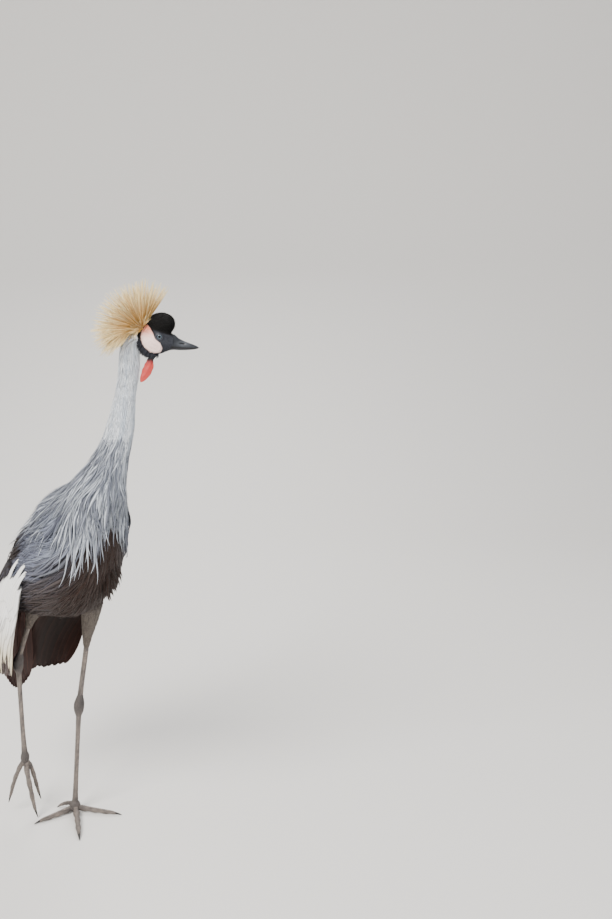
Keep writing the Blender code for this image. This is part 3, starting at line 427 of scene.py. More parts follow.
def makeCells():
    group, given, out = newGroup("cells", [("Scale", 500.0), ("Line", 0.12)], [("Shade", "NodeSocketFloat"), ("Height", "NodeSocketFloat")])
    cells = group.nodes.new("ShaderNodeTexVoronoi")
    cells.feature = "DISTANCE_TO_EDGE"
    group.links.new(objectCoords(group), cells.inputs["Vector"])
    group.links.new(given.outputs["Scale"], cells.inputs["Scale"])
    plate = group.nodes.new("ShaderNodeMapRange")
    plate.interpolation_type = "SMOOTHSTEP"
    group.links.new(cells.outputs["Distance"], plate.inputs["Value"])
    group.links.new(given.outputs["Line"], plate.inputs["From Max"])
    group.links.new(plate.outputs[0], out.inputs["Height"])
    group.links.new(mathNode(group, "MULTIPLY_ADD", plate.outputs[0], 0.35, 0.65), out.inputs["Shade"])
    return group


shared = {"barbs": makeBarbs(), "mottle": makeMottle(), "cells": makeCells()}


def newMaterial(name, roughness, effects, bump=0.3, reach=0.0004, **sockets):
    material = bpy.data.materials.new(name)
    material.use_nodes = True
    tree = material.node_tree
    shader = tree.nodes["Principled BSDF"]
    tint = tree.nodes.new("ShaderNodeVertexColor")
    tint.layer_name = "tint"
    colour, height = tint.outputs["Color"], None
    for kind, values in effects:
        node = tree.nodes.new("ShaderNodeGroup")
        node.node_tree = shared[kind]
        for title, value in values.items():
            node.inputs[title].default_value = value
        scaled = tree.nodes.new("ShaderNodeVectorMath")
        scaled.operation = "SCALE"
        tree.links.new(colour, scaled.inputs[0])
        tree.links.new(node.outputs["Shade"], scaled.inputs["Scale"])
        colour = scaled.outputs["Vector"]
        height = node.outputs["Height"] if height is None else mathNode(tree, "ADD", height, node.outputs["Height"])
    tree.links.new(colour, shader.inputs["Base Color"])
    shader.inputs["Roughness"].default_value = roughness
    for title, value in sockets.items():
        shader.inputs[title.replace("_", " ")].default_value = value
    if height is not None:
        relief = tree.nodes.new("ShaderNodeBump")
        relief.inputs["Strength"].default_value = bump
        relief.inputs["Distance"].default_value = reach
        tree.links.new(height, relief.inputs["Height"])
        tree.links.new(relief.outputs["Normal"], shader.inputs["Normal"])
    return material


finishes = {
    "neckPlumes": newMaterial("neckPlumes", 0.72, [("barbs", {"Barbs": 26.0, "Depth": 0.12, "Rachis": 0.08})], Sheen_Weight=0.1, Specular_IOR_Level=0.3),
    "bodyPlumes": newMaterial("bodyPlumes", 0.66, [("barbs", {"Barbs": 30.0, "Depth": 0.20, "Rachis": 0.20, "Edge": -0.50})], Sheen_Weight=0.02, Specular_IOR_Level=0.2),
    # The wing feathers' positive Edge is painted shade outlining each overlapping feather
    "wingFeathers": newMaterial("wingFeathers", 0.60, [("barbs", {"Barbs": 90.0, "Depth": 0.10, "Rachis": -0.18, "Edge": 0.30})], Sheen_Weight=0.08, Specular_IOR_Level=0.3),
    "tailFeathers": newMaterial("tailFeathers", 0.50, [("barbs", {"Barbs": 90.0, "Depth": 0.25, "Rachis": 0.7, "Edge": -0.6})], Specular_IOR_Level=0.35),
    "velvet": newMaterial("velvet", 0.92, [("mottle", {"Scale": 260.0, "Amount": 0.35})], Sheen_Weight=0.06, Specular_IOR_Level=0.18),
    "crestStraw": newMaterial("crestStraw", 0.56, [("barbs", {"Barbs": 34.0, "Depth": 0.22, "Rachis": 0.0})], Sheen_Weight=0.1),
    "bodySkin": newMaterial("bodySkin", 0.85, [("mottle", {"Scale": 90.0, "Amount": 0.4})]),
    "headSkin": newMaterial("headSkin", 0.62, [("mottle", {"Scale": 420.0, "Amount": 0.22})], bump=0.5),
    "legScales": newMaterial("legScales", 0.58, [("cells", {"Scale": 430.0, "Line": 0.16}), ("mottle", {"Scale": 160.0, "Amount": 0.35})], bump=0.7, reach=0.0006),
    "claw": newMaterial("claw", 0.38, [("mottle", {"Scale": 300.0, "Amount": 0.25})]),
    "horn": newMaterial("horn", 0.36, [("mottle", {"Scale": 240.0, "Amount": 0.30})], bump=0.25, Specular_IOR_Level=0.35),
    "wattleSkin": newMaterial("wattleSkin", 0.50, [("mottle", {"Scale": 500.0, "Amount": 0.25})], bump=0.6, Subsurface_Weight=0.15),
    "eyeball": newMaterial("eyeball", 0.10, [], Coat_Weight=0.25, Coat_Roughness=0.02, Specular_IOR_Level=0.12),
}
print("materials made")


def declare(piece, slot, *nodes):
    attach(piece, "root")
    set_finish(piece, slot)
    if nodes:
        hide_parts(*nodes)
    return piece


# ---- colours by place
colours = {
    "neckPale": srgb(240, 244, 248),
    "neckShade": srgb(190, 200, 212),
    "plumePale": srgb(208, 215, 223),
    "plumeSlate": srgb(106, 111, 128),
    "backSlate": srgb(64, 66, 77),
    # The dark flank colour and the belly's brown are painted shade under the body
    "flankShade": srgb(50, 43, 41),
    "flankPale": srgb(98, 90, 88),
    "bellyShadeBrown": srgb(38, 24, 18),
    "thighGrey": srgb(101, 93, 86),
    "covertWhite": srgb(250, 249, 246),
    "covertStraw": srgb(236, 222, 188),
    "chestnut": srgb(54, 31, 25),
    "flightBlack": srgb(25, 17, 15),
    "velvetBlack": srgb(8, 6, 5),
    "lore": srgb(58, 60, 67),
    "napeDark": srgb(44, 45, 52),
    "cheekWhite": srgb(243, 216, 208),
    "cheekPink": srgb(222, 128, 98),
    "straw": srgb(236, 176, 78),
    "strawPale": srgb(255, 234, 176),
    "strawDark": srgb(184, 124, 54),
    "wattleRed": srgb(178, 58, 54),
    "wattleDark": srgb(96, 30, 34),
    "billToneAndHighlight": srgb(88, 91, 96),
    "billDark": srgb(35, 37, 41),
    "legGrey": srgb(90, 84, 80),
    "legPale": srgb(141, 128, 118),
    "legDark": srgb(56, 52, 52),
    "clawBlack": srgb(34, 31, 30),
}


def blend(first, second, share):
    share = np.asarray(share, float)[..., None]
    return np.asarray(first) * (1 - share) + np.asarray(second) * share


def bodyTint(points):
    t, turn, reach = bodyPlace(points)
    # Painted shade: the body grows darker and browner on its underside, most under the breast, and towards the rear
    low = ease(math.radians(95), math.radians(150), np.abs(turn) + 0.25 * waves(points, 0.05, 2))
    rear = ease(0.10, 0.30, t)
    base = blend(colours["backSlate"], colours["flankShade"], np.clip(0.8 * low + 0.35 * rear, 0, 1))
    front = ease(math.radians(128), math.radians(168), np.abs(turn)) * (1 - ease(0.16, 0.30, t))
    base = blend(base, colours["bellyShadeBrown"], np.clip(0.95 * front + 0.25 * low, 0, 1))
    rump = ease(0.19, 0.23, t) * ease(math.radians(74), math.radians(60), np.abs(turn))
    base = blend(base, colours["flightBlack"] * 1.5, rump)
    pale = ease(0.655, 0.690, points[:, 2] + 0.008 * waves(points, 0.03, 5))
    return blend(base, colours["neckShade"], pale)


cheekOutline = np.array([
    (-0.0215, 0.0205), (-0.0295, 0.0090), (-0.0312, -0.0010), (-0.0290, -0.0110), (-0.0235, -0.0200),
    (-0.0150, -0.0268), (-0.0060, -0.0292), (0.0020, -0.0262), (0.0048, -0.0190), (0.0015, -0.0105),
    (-0.0065, -0.0040), (-0.0100, 0.0050), (-0.0150, 0.0140),
])


def insideOutline(forward, up, outline):
    here = np.stack([forward, up], -1)
    nearest = np.full(len(here), 1e9)
    inside = np.zeros(len(here), bool)
    for start, end in zip(outline, np.roll(outline, -1, axis=0)):
        edge = end - start
        share = np.clip(((here - start) @ edge) / (edge @ edge), 0, 1)
        nearest = np.minimum(nearest, np.linalg.norm(here - start - share[:, None] * edge, axis=1))
        crossing = (start[1] > here[:, 1]) != (end[1] > here[:, 1])
        slope = edge[0] * (here[:, 1] - start[1]) / (edge[1] if abs(edge[1]) > 1e-9 else 1e-9) + start[0]
        inside ^= crossing & (here[:, 0] < slope)
    return np.where(inside, nearest, -nearest)


def cheekShare(points):
    forward, left, up = headLocal(points)
    return ease(-0.0004, 0.0006, insideOutline(forward, up, cheekOutline)) * (np.abs(left) > 0.007)


def nape(points):
    forward, left, up = headLocal(points)
    behind = ease(-0.0015, 0.0015, -0.0375 - forward - 0.22 * up + 0.0012 * waves(points, 0.012, 8)) * ease(-0.002, 0.002, 0.004 - up)
    return np.maximum(behind, ease(-0.0375, -0.0395, up + 0.0008 * waves(points, 0.008, 9)))


def headTint(points):
    forward, left, up = headLocal(points)
    base = blend(colours["velvetBlack"], colours["napeDark"], ease(0.002, -0.012, up) * 0.9)
    face = ease(0.0004, -0.0024, up - 0.0086 + 0.36 * forward) * ease(-0.012, -0.004, forward)
    base = blend(base, colours["lore"], face * (1 - 0.45 * ease(-0.016, -0.026, up)))
    pink = ease(-0.004, 0.016, up + 0.003 * waves(points, 0.01, 3))
    rim = ease(0.0022, 0.0, insideOutline(forward, up, cheekOutline))
    cheek = blend(blend(colours["cheekWhite"], colours["cheekPink"], pink * (1 - 0.4 * rim)), colours["cheekPink"], 0.10)
    base = blend(base, cheek, cheekShare(points))
    return blend(base, colours["neckPale"], nape(points))


# ---- one skin under the feathers
skinSizes = {"bodyInset": 0.0020, "neckInset": 0.0014, "bodyVoxel": 0.0045, "headVoxel": 0.00085, "legVoxel": 0.00110, "fill": 0.045}
legPaths = {
    "left": {
        "hub": (0.000, 0.000, 0.0115),
        "hubSize": (0.0108, 0.0104, 0.0122),
        "leg": [(0.0, 0.0, 0.012), (0.0015, 0.0015, 0.060), (0.0045, 0.0040, 0.140), (0.0072, 0.0064, 0.216)],
        "shin": [(0.0072, 0.0064, 0.216), (0.0086, 0.0120, 0.262), (0.0120, 0.0206, 0.332), (0.0210, 0.0175, 0.360)],
        "thigh": [(0.0118, 0.0200, 0.328), (0.0210, 0.0175, 0.360), (0.0430, 0.0095, 0.405), (0.0700, -0.0020, 0.450)],
        "toes": [
            ([(0.0, 0.0, 0.0085), (0.030, -0.0150, 0.0066), (0.060, -0.0320, 0.0050), (0.081, -0.0440, 0.0042), (0.093, -0.0510, 0.0016)], (0.0062, 0.0052, 0.0048, 0.0042, 0.0008)),
            ([(0.0, 0.0, 0.0085), (0.026, 0.020, 0.0062), (0.050, 0.0385, 0.0045), (0.065, 0.0500, 0.0036), (0.0735, 0.0566, 0.0016)], (0.0056, 0.0046, 0.0040, 0.0034, 0.0008)),
            ([(0.0, 0.0, 0.0085), (-0.003, -0.030, 0.0064), (-0.0062, -0.054, 0.0048), (-0.0088, -0.073, 0.0038), (-0.0102, -0.0835, 0.0016)], (0.0056, 0.0048, 0.0043, 0.0036, 0.0008)),
            ([(0.0, 0.0, 0.0150), (-0.013, -0.0090, 0.0145), (-0.022, -0.0155, 0.0100), (-0.027, -0.0190, 0.0060), (-0.030, -0.0210, 0.0030)], (0.0042, 0.0038, 0.0033, 0.0026, 0.0007)),
        ],
    },
    "right": {
        "hub": (-0.0512, -0.0760, 0.1180),
        "hubSize": (0.0077, 0.0085, 0.0128),
        "leg": [(-0.0512, -0.0760, 0.1180), (-0.0545, -0.0775, 0.165), (-0.0590, -0.0790, 0.235), (-0.0630, -0.0804, 0.304)],
        "shin": [(-0.0630, -0.0804, 0.304), (-0.0520, -0.0790, 0.335), (-0.0330, -0.0757, 0.382), (-0.0250, -0.0745, 0.400)],
        "thigh": [(-0.0338, -0.0758, 0.378), (-0.0250, -0.0745, 0.400), (-0.0080, -0.0735, 0.430), (0.0150, -0.0730, 0.465)],
        "toes": [
            ([(-0.0512, -0.0760, 0.1170), (-0.0450, -0.0750, 0.086), (-0.0385, -0.0715, 0.050), (-0.0315, -0.0680, 0.018), (-0.0262, -0.0650, 0.0008)], (0.0050, 0.0046, 0.0043, 0.0037, 0.0012)),
            ([(-0.0512, -0.0760, 0.1170), (-0.0510, -0.0640, 0.094), (-0.0500, -0.0560, 0.066), (-0.0486, -0.0500, 0.040), (-0.0474, -0.0450, 0.022)], (0.0046, 0.0042, 0.0038, 0.0032, 0.0008)),
            ([(-0.0512, -0.0760, 0.1170), (-0.0590, -0.0860, 0.092), (-0.0680, -0.0915, 0.064), (-0.0740, -0.0945, 0.040), (-0.0795, -0.0960, 0.021)], (0.0046, 0.0042, 0.0038, 0.0032, 0.0008)),
            ([(-0.0520, -0.0765, 0.1170), (-0.0620, -0.0680, 0.1130), (-0.0675, -0.0630, 0.106), (-0.0700, -0.0605, 0.098), (-0.0705, -0.0595, 0.091)], (0.0038, 0.0034, 0.0030, 0.0024, 0.0007)),
        ],
    },
}
legSizes = {
    "shank": 0.0042,
    "clawShare": 0.13,
    "scutes": 30,
    "toeScutes": 17,
}


def sampledRadii(radii, count):
    return np.interp(np.linspace(0, 1, count), np.linspace(0, 1, len(radii)), radii)


def makeBodySkin():
    count = 60
    t = np.linspace(form["bodyRows"][0][0], form["bodyRows"][-1][0], count)
    turns = 2 * math.pi * np.arange(48) / 48
    rings = bodyPoint(t[:, None] + 0 * turns, turns[None, :] + 0 * t[:, None], -skinSizes["bodyInset"] + 0 * t[:, None] * turns)[0]
    parts = [closedRings(rings)]
    parts.append(closedRings(tubeRings(neckPath[:-30, :3], neckPath[:-30, 3] - skinSizes["neckInset"], 36)))
    bare = remesh(outwardMesh("bareForm", parts), skinSizes["bodyVoxel"], 5)
    # The feathers lie on a form whose creases are filled, such as the one between neck and back
    movePoints(bare, meshPoints(bare) + meshNormals(bare) * skinSizes["fill"])
    remesh(bare, skinSizes["bodyVoxel"], 8)
    movePoints(bare, meshPoints(bare) - meshNormals(bare) * skinSizes["fill"])
    ground = groundOf(bare)
    bpy.data.objects.remove(bare)
    for side in legPaths.values():
        path = smoothPath(side["thigh"], 24)
        parts.append(closedRings(tubeRings(path, sampledRadii((0.0050, 0.0100, 0.0150, 0.0175, 0.0195), 24), 24)))
    skin = remesh(outwardMesh("bodySkinForm", parts), skinSizes["bodyVoxel"], 5)
    skin.data.materials.append(finishes["bodySkin"])
    points = meshPoints(skin)
    shades = bodyTint(points)
    shades = blend(shades, colours["neckShade"], ease(0.64, 0.68, points[:, 2]))
    lowLeg = ease(0.425, 0.40, points[:, 2])
    addTint(skin.data, blend(shades, colours["thighGrey"] * 0.7, lowLeg))
    return skin, ground


def makeHeadSkin():
    table = smoothRows(form["skullRows"], 60)
    angles = 2 * math.pi * np.arange(48) / 48
    rings = []
    for forward, middle, tall, wide in table:
        rings.append(headPlace(forward + 0 * angles, (wide - 0.0003) * np.sin(angles), middle + (tall - 0.0003) * np.cos(angles)))
    parts = [closedRings(np.array(rings))]
    parts.append(ballPart(headPlace(0.0002, 0, 0.0180), (0.0240, 0.0138, 0.0192), form["headTurn"], math.radians(14)))
    top = neckPath[-70:]
    parts.append(closedRings(tubeRings(top[:, :3], top[:, 3] - 0.0012, 32)))
    for side in (-1, 1):
        outline = smoothPath(np.column_stack([np.vstack([cheekOutline, cheekOutline[:1]]), np.zeros(len(cheekOutline) + 1)]), 60)[:-1]
        middle = outline.mean(axis=0)
        for share, out in ((0.95, 0.0006), (0.86, 0.0012)):
            edge = middle + (outline - middle) * share
            width = np.interp(edge[:, 0], table[:, 0], table[:, 3]) * np.sqrt(np.clip(1 - ((edge[:, 1] - np.interp(edge[:, 0], table[:, 0], table[:, 1])) / np.interp(edge[:, 0], table[:, 0], table[:, 2])) ** 2, 0.01, 1))
            inner = headPlace(edge[:, 0], side * width * 0.72, edge[:, 1])
            outer = headPlace(edge[:, 0], side * (width + out), edge[:, 1])
            parts.append(closedRings(np.array([inner, outer])))
        ring = []
        for angle in 2 * math.pi * np.arange(40) / 40:
            ring.append((0.0051 * math.cos(angle), side * 0.0164, 0.0044 * math.sin(angle)))
        ring = np.array(ring)
        lid = tubeRings(headPlace(*np.vstack([ring, ring[:2]]).T), np.full(42, 0.0011), 12, up=tuple(headPlace(0, 1, 0) - headPlace(0, 0, 0)))
        parts.append(closedRings(lid))
    skin = remesh(outwardMesh("headSkinForm", parts), skinSizes["headVoxel"], 4)
    points = meshPoints(skin)
    forward, left, up = headLocal(points)
    # Sockets: the skin sinks behind each eyeball inside the lids
    away = np.hypot(forward / 0.0047, up / 0.0040)
    inside = (away < 1.0) & (np.abs(left) > 0.008)
    sunk = np.where(inside, np.sign(left) * (0.0128 - 0.003 * (1 - away)), left)
    points = headPlace(forward, sunk, up)
    movePoints(skin, points)
    # The cheek's bare skin is finely creased
    crease = cheekShare(points)[:, None] * meshNormals(skin) * (0.00022 * waves(points, 0.004, 12) + 0.0004 * waves(points, 0.012, 13))[:, None]
    movePoints(skin, points + crease)
    skin.data.materials.append(finishes["headSkin"])
    addTint(skin.data, headTint(meshPoints(skin)))
    return skin


def makeLegSkin():
    parts = []
    for side in legPaths.values():
        knuckle = np.array(side["leg"][-1])
        shank = smoothPath(side["leg"], 60)
        parts.append(closedRings(tubeRings(shank, sampledRadii((0.0066, 0.0050, 0.0044, 0.0042, 0.0042, 0.0042, 0.0043, 0.0048, 0.0056), 60), 20)))
        shin = smoothPath(side["shin"], 60)
        parts.append(closedRings(tubeRings(shin, sampledRadii((0.0058, 0.0050, 0.0048, 0.0050, 0.0054), 60), 20)))
        below = unit(np.array(side["leg"][-2]) - knuckle)
        above = unit(np.array(side["shin"][1]) - knuckle)
        hock = smoothPath([knuckle + below * 0.024, knuckle + below * 0.010, knuckle, knuckle + above * 0.010, knuckle + above * 0.024], 40)
        parts.append(closedRings(tubeRings(hock, sampledRadii((0.0042, 0.0066, 0.0090, 0.0098, 0.0099, 0.0086, 0.0064, 0.0048), 40), 24)))
        parts.append(ballPart(side["hub"], side["hubSize"]))
        for path, radii in side["toes"]:
            line = smoothPath(path, 70)
            line = line[: int(70 * (1 - legSizes["clawShare"])) + 3]
            share = np.linspace(0, 1, len(line))
            sizes = sampledRadii(radii, 70)[: len(line)] * (1.06 + 0.13 * np.cos(2 * math.pi * share * 4.2))
            sizes[-4:] *= (0.95, 0.85, 0.7, 0.5)
            parts.append(closedRings(tubeRings(line, np.column_stack([sizes, sizes * 0.95]), 16)))
    skin = remesh(outwardMesh("legSkinForm", parts), skinSizes["legVoxel"], 6)
    points = meshPoints(skin)
    points[:, 2] = np.maximum(points[:, 2], 0.0004)
    points += meshNormals(skin) * (0.00022 * waves(points, 0.006, 21))[:, None]
    points[:, 2] = np.maximum(points[:, 2], 0.0002)
    movePoints(skin, points)
    skin.data.materials.append(finishes["legScales"])
    shade = 0.5 + 0.5 * waves(points, 0.03, 22)
    tint = blend(colours["legGrey"], colours["legPale"], np.clip(shade * 0.7, 0, 1))
    joints = np.zeros(len(points))
    for side in legPaths.values():
        joints = np.maximum(joints, ease(0.060, 0.012, np.linalg.norm(points - np.array(side["leg"][-1]), axis=1)) * ease(-0.030, 0.0, points[:, 2] - side["leg"][-1][2]))
        joints = np.maximum(joints, ease(0.030, 0.010, np.linalg.norm(points - np.array(side["hub"]), axis=1)) * 0.8)
    addTint(skin.data, blend(tint, colours["legDark"], joints * 0.75))
    return skin


(bodySkin, torsoGround), headSkin, legSkin = makeBodySkin(), makeHeadSkin(), makeLegSkin()
bodyGround, headGround = groundOf(bodySkin), groundOf(headSkin)
headSkinPoints, headSkinFaces = meshPoints(headSkin), np.array([face.vertices[:3] for face in headSkin.data.polygons])
with bpy.context.temp_override(active_object=bodySkin, selected_editable_objects=[bodySkin, headSkin, legSkin]):
    bpy.ops.object.join()
skin = bodySkin
skin.name = "skin"
wholeGround = groundOf(skin)
skinNodes = ["torso", "neck_base", "neck_middle", "neck_upper", "skull", "cheek_left", "cheek_right", "forehead_cap"]
for part in ("shin", "hock", "tarsus", "foot", "thigh", "toe_middle", "toe_inner", "toe_outer", "toe_back"):
    skinNodes += [part + "_left", part + "_right"]
declare(skin, "body_plumage", *skinNodes)
print("skin made:", len(skin.data.polygons), "faces")


# ---- feathers that lie along the skin
def settle(ground, points):
    places, outs = np.empty_like(points), np.empty_like(points)
    for index, point in enumerate(points):
        place, normal, face, distance = ground.find_nearest(Vector(point))
        places[index] = place
        outs[index] = normal
    return places, outs


def trace(ground, roots, lengths, stations, wayAt, lifts, wander=0.0, swing=0.0, seed=1):
    draw = np.random.default_rng(seed)
    phase = waves(roots, 0.045, seed) * 3.0 + draw.uniform(-0.45, 0.45, len(roots))
    lean = draw.normal(0, wander, len(roots)) + 0.8 * wander * waves(roots, 0.02, seed + 1)
    here, outs = settle(ground, roots)
    places, normals = [here + outs * lifts[:, :1]], [outs]
    for step in range(1, stations):
        share = step / (stations - 1)
        way = wayAt(here, outs)
        way = unit(way - outs * np.sum(way * outs, axis=1)[:, None])
        across = np.cross(way, outs)
        bend = lean * (0.5 + share) + swing * np.sin(phase + share * 5.0)
        way = unit(way + across * bend[:, None])
        ahead = here + way * (lengths / (stations - 1))[:, None]
        here, found = settle(ground, ahead)
        outs = unit(outs * 0.5 + found * 0.5)
        places.append(here + outs * lifts[:, step : step + 1])
        normals.append(outs)
    return np.stack(places, 1), np.stack(normals, 1)


def liftRows(count, stations, start, rise, power=1.0, spread=0.3, seed=3):
    draw = np.random.default_rng(seed)
    share = np.linspace(0, 1, stations)
    return start + rise * (1 + draw.uniform(-spread, spread, (count, 1))) * share[None, :] ** power


bladeShapes = {
    "hackle": lambda s: (0.55 + 0.45 * np.minimum(s / 0.3, 1)) * (1 - 0.93 * np.maximum(s - 0.35, 0) / 0.65),
    "lance": lambda s: (0.35 + 0.65 * np.minimum(s / 0.35, 1)) * (1 - 0.95 * (np.maximum(s - 0.35, 0) / 0.65) ** 0.85),
    "round": lambda s: (0.5 + 0.5 * np.minimum(s / 0.3, 1)) * np.sqrt(np.clip(1.03 - np.maximum(s - 0.55, 0) ** 2 * 4.9, 0.002, 1)),
    "quill": lambda s: (0.35 + 0.65 * np.minimum(s / 0.25, 1)) * np.sqrt(np.clip(1.02 - (np.maximum(s - 0.80, 0) / 0.20) ** 2.4, 0.02, 1)),
    "tuft": lambda s: 1 - 0.9 * s**1.4,
    "flight": lambda s: (0.45 + 0.55 * ease(0.40, 0.78, s)) * np.sqrt(np.clip(1 - 0.97 * (np.maximum(s - 0.76, 0) / 0.24) ** 2.2, 0.03, 1)),
    "covert": lambda s: (0.45 + 0.55 * np.minimum(s / 0.2, 1)) * (1 - 0.86 * (np.maximum(s - 0.74, 0) / 0.26) ** 1.7),
}


def crossSection(broad):
    if not broad:
        return np.array([-0.5, 0.0, 0.5]), np.array([-0.040, 0.055, -0.040]), np.array([0, 0, 0])
    across = np.array([-0.5, -0.27, -0.03, 0.03, 0.27, 0.5, 0.25, -0.25])
    height = np.array([-0.060, 0.004, 0.030, 0.030, 0.004, -0.060, -0.016, -0.016])
    return across, height, np.array([1, 0, 0, 0, 0, 2, 0, 0])


def vaneMesh(name, places, normals, widths, shape, tints, unwrap, finish, slot, rootShade=None, broad=False, rows=None):
    count, stations = places.shape[:2]
    aside, height, labels = crossSection(broad)
    sides = len(aside)
    share = np.linspace(0, 1, stations)
    wide = (widths[:, None] * bladeShapes[shape](share)[None, :]) if widths.ndim == 1 else widths
    tangents = unit(np.gradient(places, axis=1))
    across = unit(np.cross(tangents, normals))
    over = unit(np.cross(across, tangents))
    points = places[:, :, None] + (across[:, :, None] * aside[:, None] + over[:, :, None] * height[:, None]) * wide[:, :, None, None]
    base = np.arange(count)[:, None, None] * stations * sides
    fan = np.arange(1, sides - 1)
    first = np.stack([0 * fan, fan + 1, fan], -1)
    last = np.stack([0 * fan, fan, fan + 1], -1) + (stations - 1) * sides
    local = np.concatenate([ringFaces(stations, sides), first, last])[None]
    tints = np.repeat(tints[:, None, :], stations, axis=1) if tints.ndim == 2 else tints
    # The optional scale along each feather is painted shade towards the root, under the feathers above, and painted
    # light towards the free tip
    if rootShade is not None:
        tints = tints * rootShade[None, :, None]
    rootUv = unwrap(places[:, 0])
    most = 190000 // local.shape[1]
    pieces = []
    for start in range(0, count, most):
        part = slice(start, min(start + most, count))
        size = part.stop - part.start
        faces = (base[:size] + local).reshape(-1, 3)
        u = np.tile(aside + 0.5, size * stations)
        v = np.tile(np.repeat(share, sides), size)
        bake = np.repeat(rootUv[part], stations * sides, axis=0) + np.column_stack([(u - 0.5) * 0.003, (v - 0.5) * 0.003])
        title = name if count <= most else name + str(start // most + 1)
        tint = np.repeat(tints[part].reshape(-1, 3), sides, axis=0)
        sharp = np.tile(labels, size * stations) if broad else None
        layers = {"OFBake": bake, "vane": np.column_stack([u, v])}
        piece = newMesh(title, points[part].reshape(-1, 3), faces, finishes[finish], tint, layers, sharp)
        pieces.append(declare(piece, slot))
    return pieces


def bodyUnwrap(points):
    t, turn, reach = bodyPlace(points)
    return np.column_stack([0.02 + 0.96 * (turn / (2 * math.pi) + 0.5), np.clip(0.02 + 0.9 * (t + 0.05) / 0.46, 0.01, 0.99)])


def neckUnwrap(points):
    index = np.clip(np.searchsorted(neckPath[:, 2], points[:, 2]), 0, len(neckPath) - 1)
    offset = points - neckPath[index, :3]
    turn = np.arctan2(offset[:, 1], offset[:, 0])
    return np.column_stack([0.02 + 0.96 * (turn / (2 * math.pi) + 0.5), 0.02 + 0.95 * np.clip((points[:, 2] - 0.56) / 0.40, 0, 1)])


def headUnwrap(points):
    forward, left, up = headLocal(points)
    turn = np.arctan2(left, up)
    return np.column_stack([0.02 + 0.96 * (turn / (2 * math.pi) + 0.5), 0.02 + 0.95 * np.clip((forward + 0.05) / 0.085, 0, 1)])


def neckWay(points, outs=None):
    tangents = unit(np.gradient(neckPath[:, :3], axis=0))
    index = np.clip(np.searchsorted(neckPath[:, 2], points[:, 2]), 0, len(neckPath) - 1)
    return -tangents[index]


def vary(tints, amount, seed):
    draw = np.random.default_rng(seed)
    return tints * (1 + draw.normal(0, amount, (len(tints), 1)))


# Body: loose slate plumes that hang at the breast and sweep back along the flanks, darker and browner below with
# painted shade
bodyCoat = {
    # name, feathers, down the body, turn in degrees, length, width, stations, lift, swing, paler share
    "groups": (
        ("bodyCoat", 8600, (-0.03, 0.375), (-180, 180), 0.042, 0.0058, 6, 0.0036, 0.14, 0.15),
        ("breastPlumesRight", 900, (-0.02, 0.16), (95, 182), 0.064, 0.0054, 8, 0.0060, 0.18, 0.20),
        ("breastPlumesLeft", 900, (-0.02, 0.16), (-182, -95), 0.064, 0.0054, 8, 0.0060, 0.18, 0.20),
        ("flankPlumesRight", 800, (0.03, 0.26), (60, 150), 0.124, 0.0070, 13, 0.0084, 0.24, 0.40),
        ("flankPlumesLeft", 800, (0.03, 0.26), (-150, -60), 0.124, 0.0070, 13, 0.0084, 0.24, 0.40),
        ("breastTuft", 46, (0.075, 0.105), (-172, -150), 0.050, 0.0060, 7, 0.0140, 0.20, 0.0),
    ),
}


def bodyWay(points, outs):
    t, turn, reach = bodyPlace(points)
    rear = ease(0.00, 0.13, t)[:, None]
    hang = np.array([-0.25, 0.0, -1.0])
    sweep = np.array([-1.0, 0.0, -0.32])
    return hang * (1 - rear) + sweep * rear


def spreadBody(count, tRange, turnRange, seed):
    draw = np.random.default_rng(seed)
    t = draw.uniform(*tRange, count * 3)
    turn = draw.uniform(*turnRange, count * 3)
    half = readRows(bodyTable, t)[2]
    kept = draw.uniform(0, 0.080, count * 3) < half
    t, turn = t[kept][:count], turn[kept][:count]
    places = bodyPoint(t, turn, 0 * t)[0]
    order = np.argsort(-t)
    return places[order]


def makeBodyCoat():
    for seed, (name, count, down, around, length, width, stations, lift, swing, pale) in enumerate(bodyCoat["groups"]):
        roots = spreadBody(count, down, np.radians(around), 31 + 7 * seed)
        count = len(roots)
        draw = np.random.default_rng(32 + 7 * seed)
        lengths = length * draw.uniform(0.65, 1.2, count)
        t, turn, reach = bodyPlace(roots)
        # The rump's plumes stay short of the tail and the wing tips
        lengths = np.minimum(lengths, np.maximum(0.40 - t, 0.02))
        lifts = liftRows(count, stations, -0.0004, lift, 0.8, 0.3, seed)
        lifts = lifts * (0.20 + 0.80 * ease(0.020, 0.095, t))[:, None]
        places, normals = trace(torsoGround, roots, lengths, stations, bodyWay, lifts, 0.08, swing, 33 + 7 * seed)
        light = draw.uniform(0, 1, count) ** 1.7 * pale
        low = ease(math.radians(98), math.radians(135), np.abs(turn))
        paler = blend(colours["plumeSlate"], colours["flankPale"], low)
        tints = vary(blend(bodyTint(roots), paler, light), 0.13, 34 + seed)
        widths = width * draw.uniform(0.7, 1.25, count)
        vaneMesh(name, places, normals, widths, "hackle", tints, bodyUnwrap, "bodyPlumes", "body_plumage", np.linspace(0.72, 1.3, stations))


# Neck: fine short hackles, then long pale plumes that spill over the shoulders
neckCoat = {
    "hackles": 9600, "length": 0.024, "width": 0.0024, "stations": 5, "lift": 0.0015, "napeLift": 0.0030, "backLift": 0.022,
    # name, plumes, lowest and highest root, length, width, stations, lift, paler share
    "rows": (
        ("neckPlumesShort", 1900, 0.640, 0.775, 0.056, 0.0034, 7, 0.0044, 0.60),
        ("neckPlumesMiddle", 860, 0.640, 0.740, 0.092, 0.0045, 10, 0.0080, 0.72),
        ("neckPlumesLong", 430, 0.618, 0.720, 0.120, 0.0052, 13, 0.0104, 0.98),
    ),
}


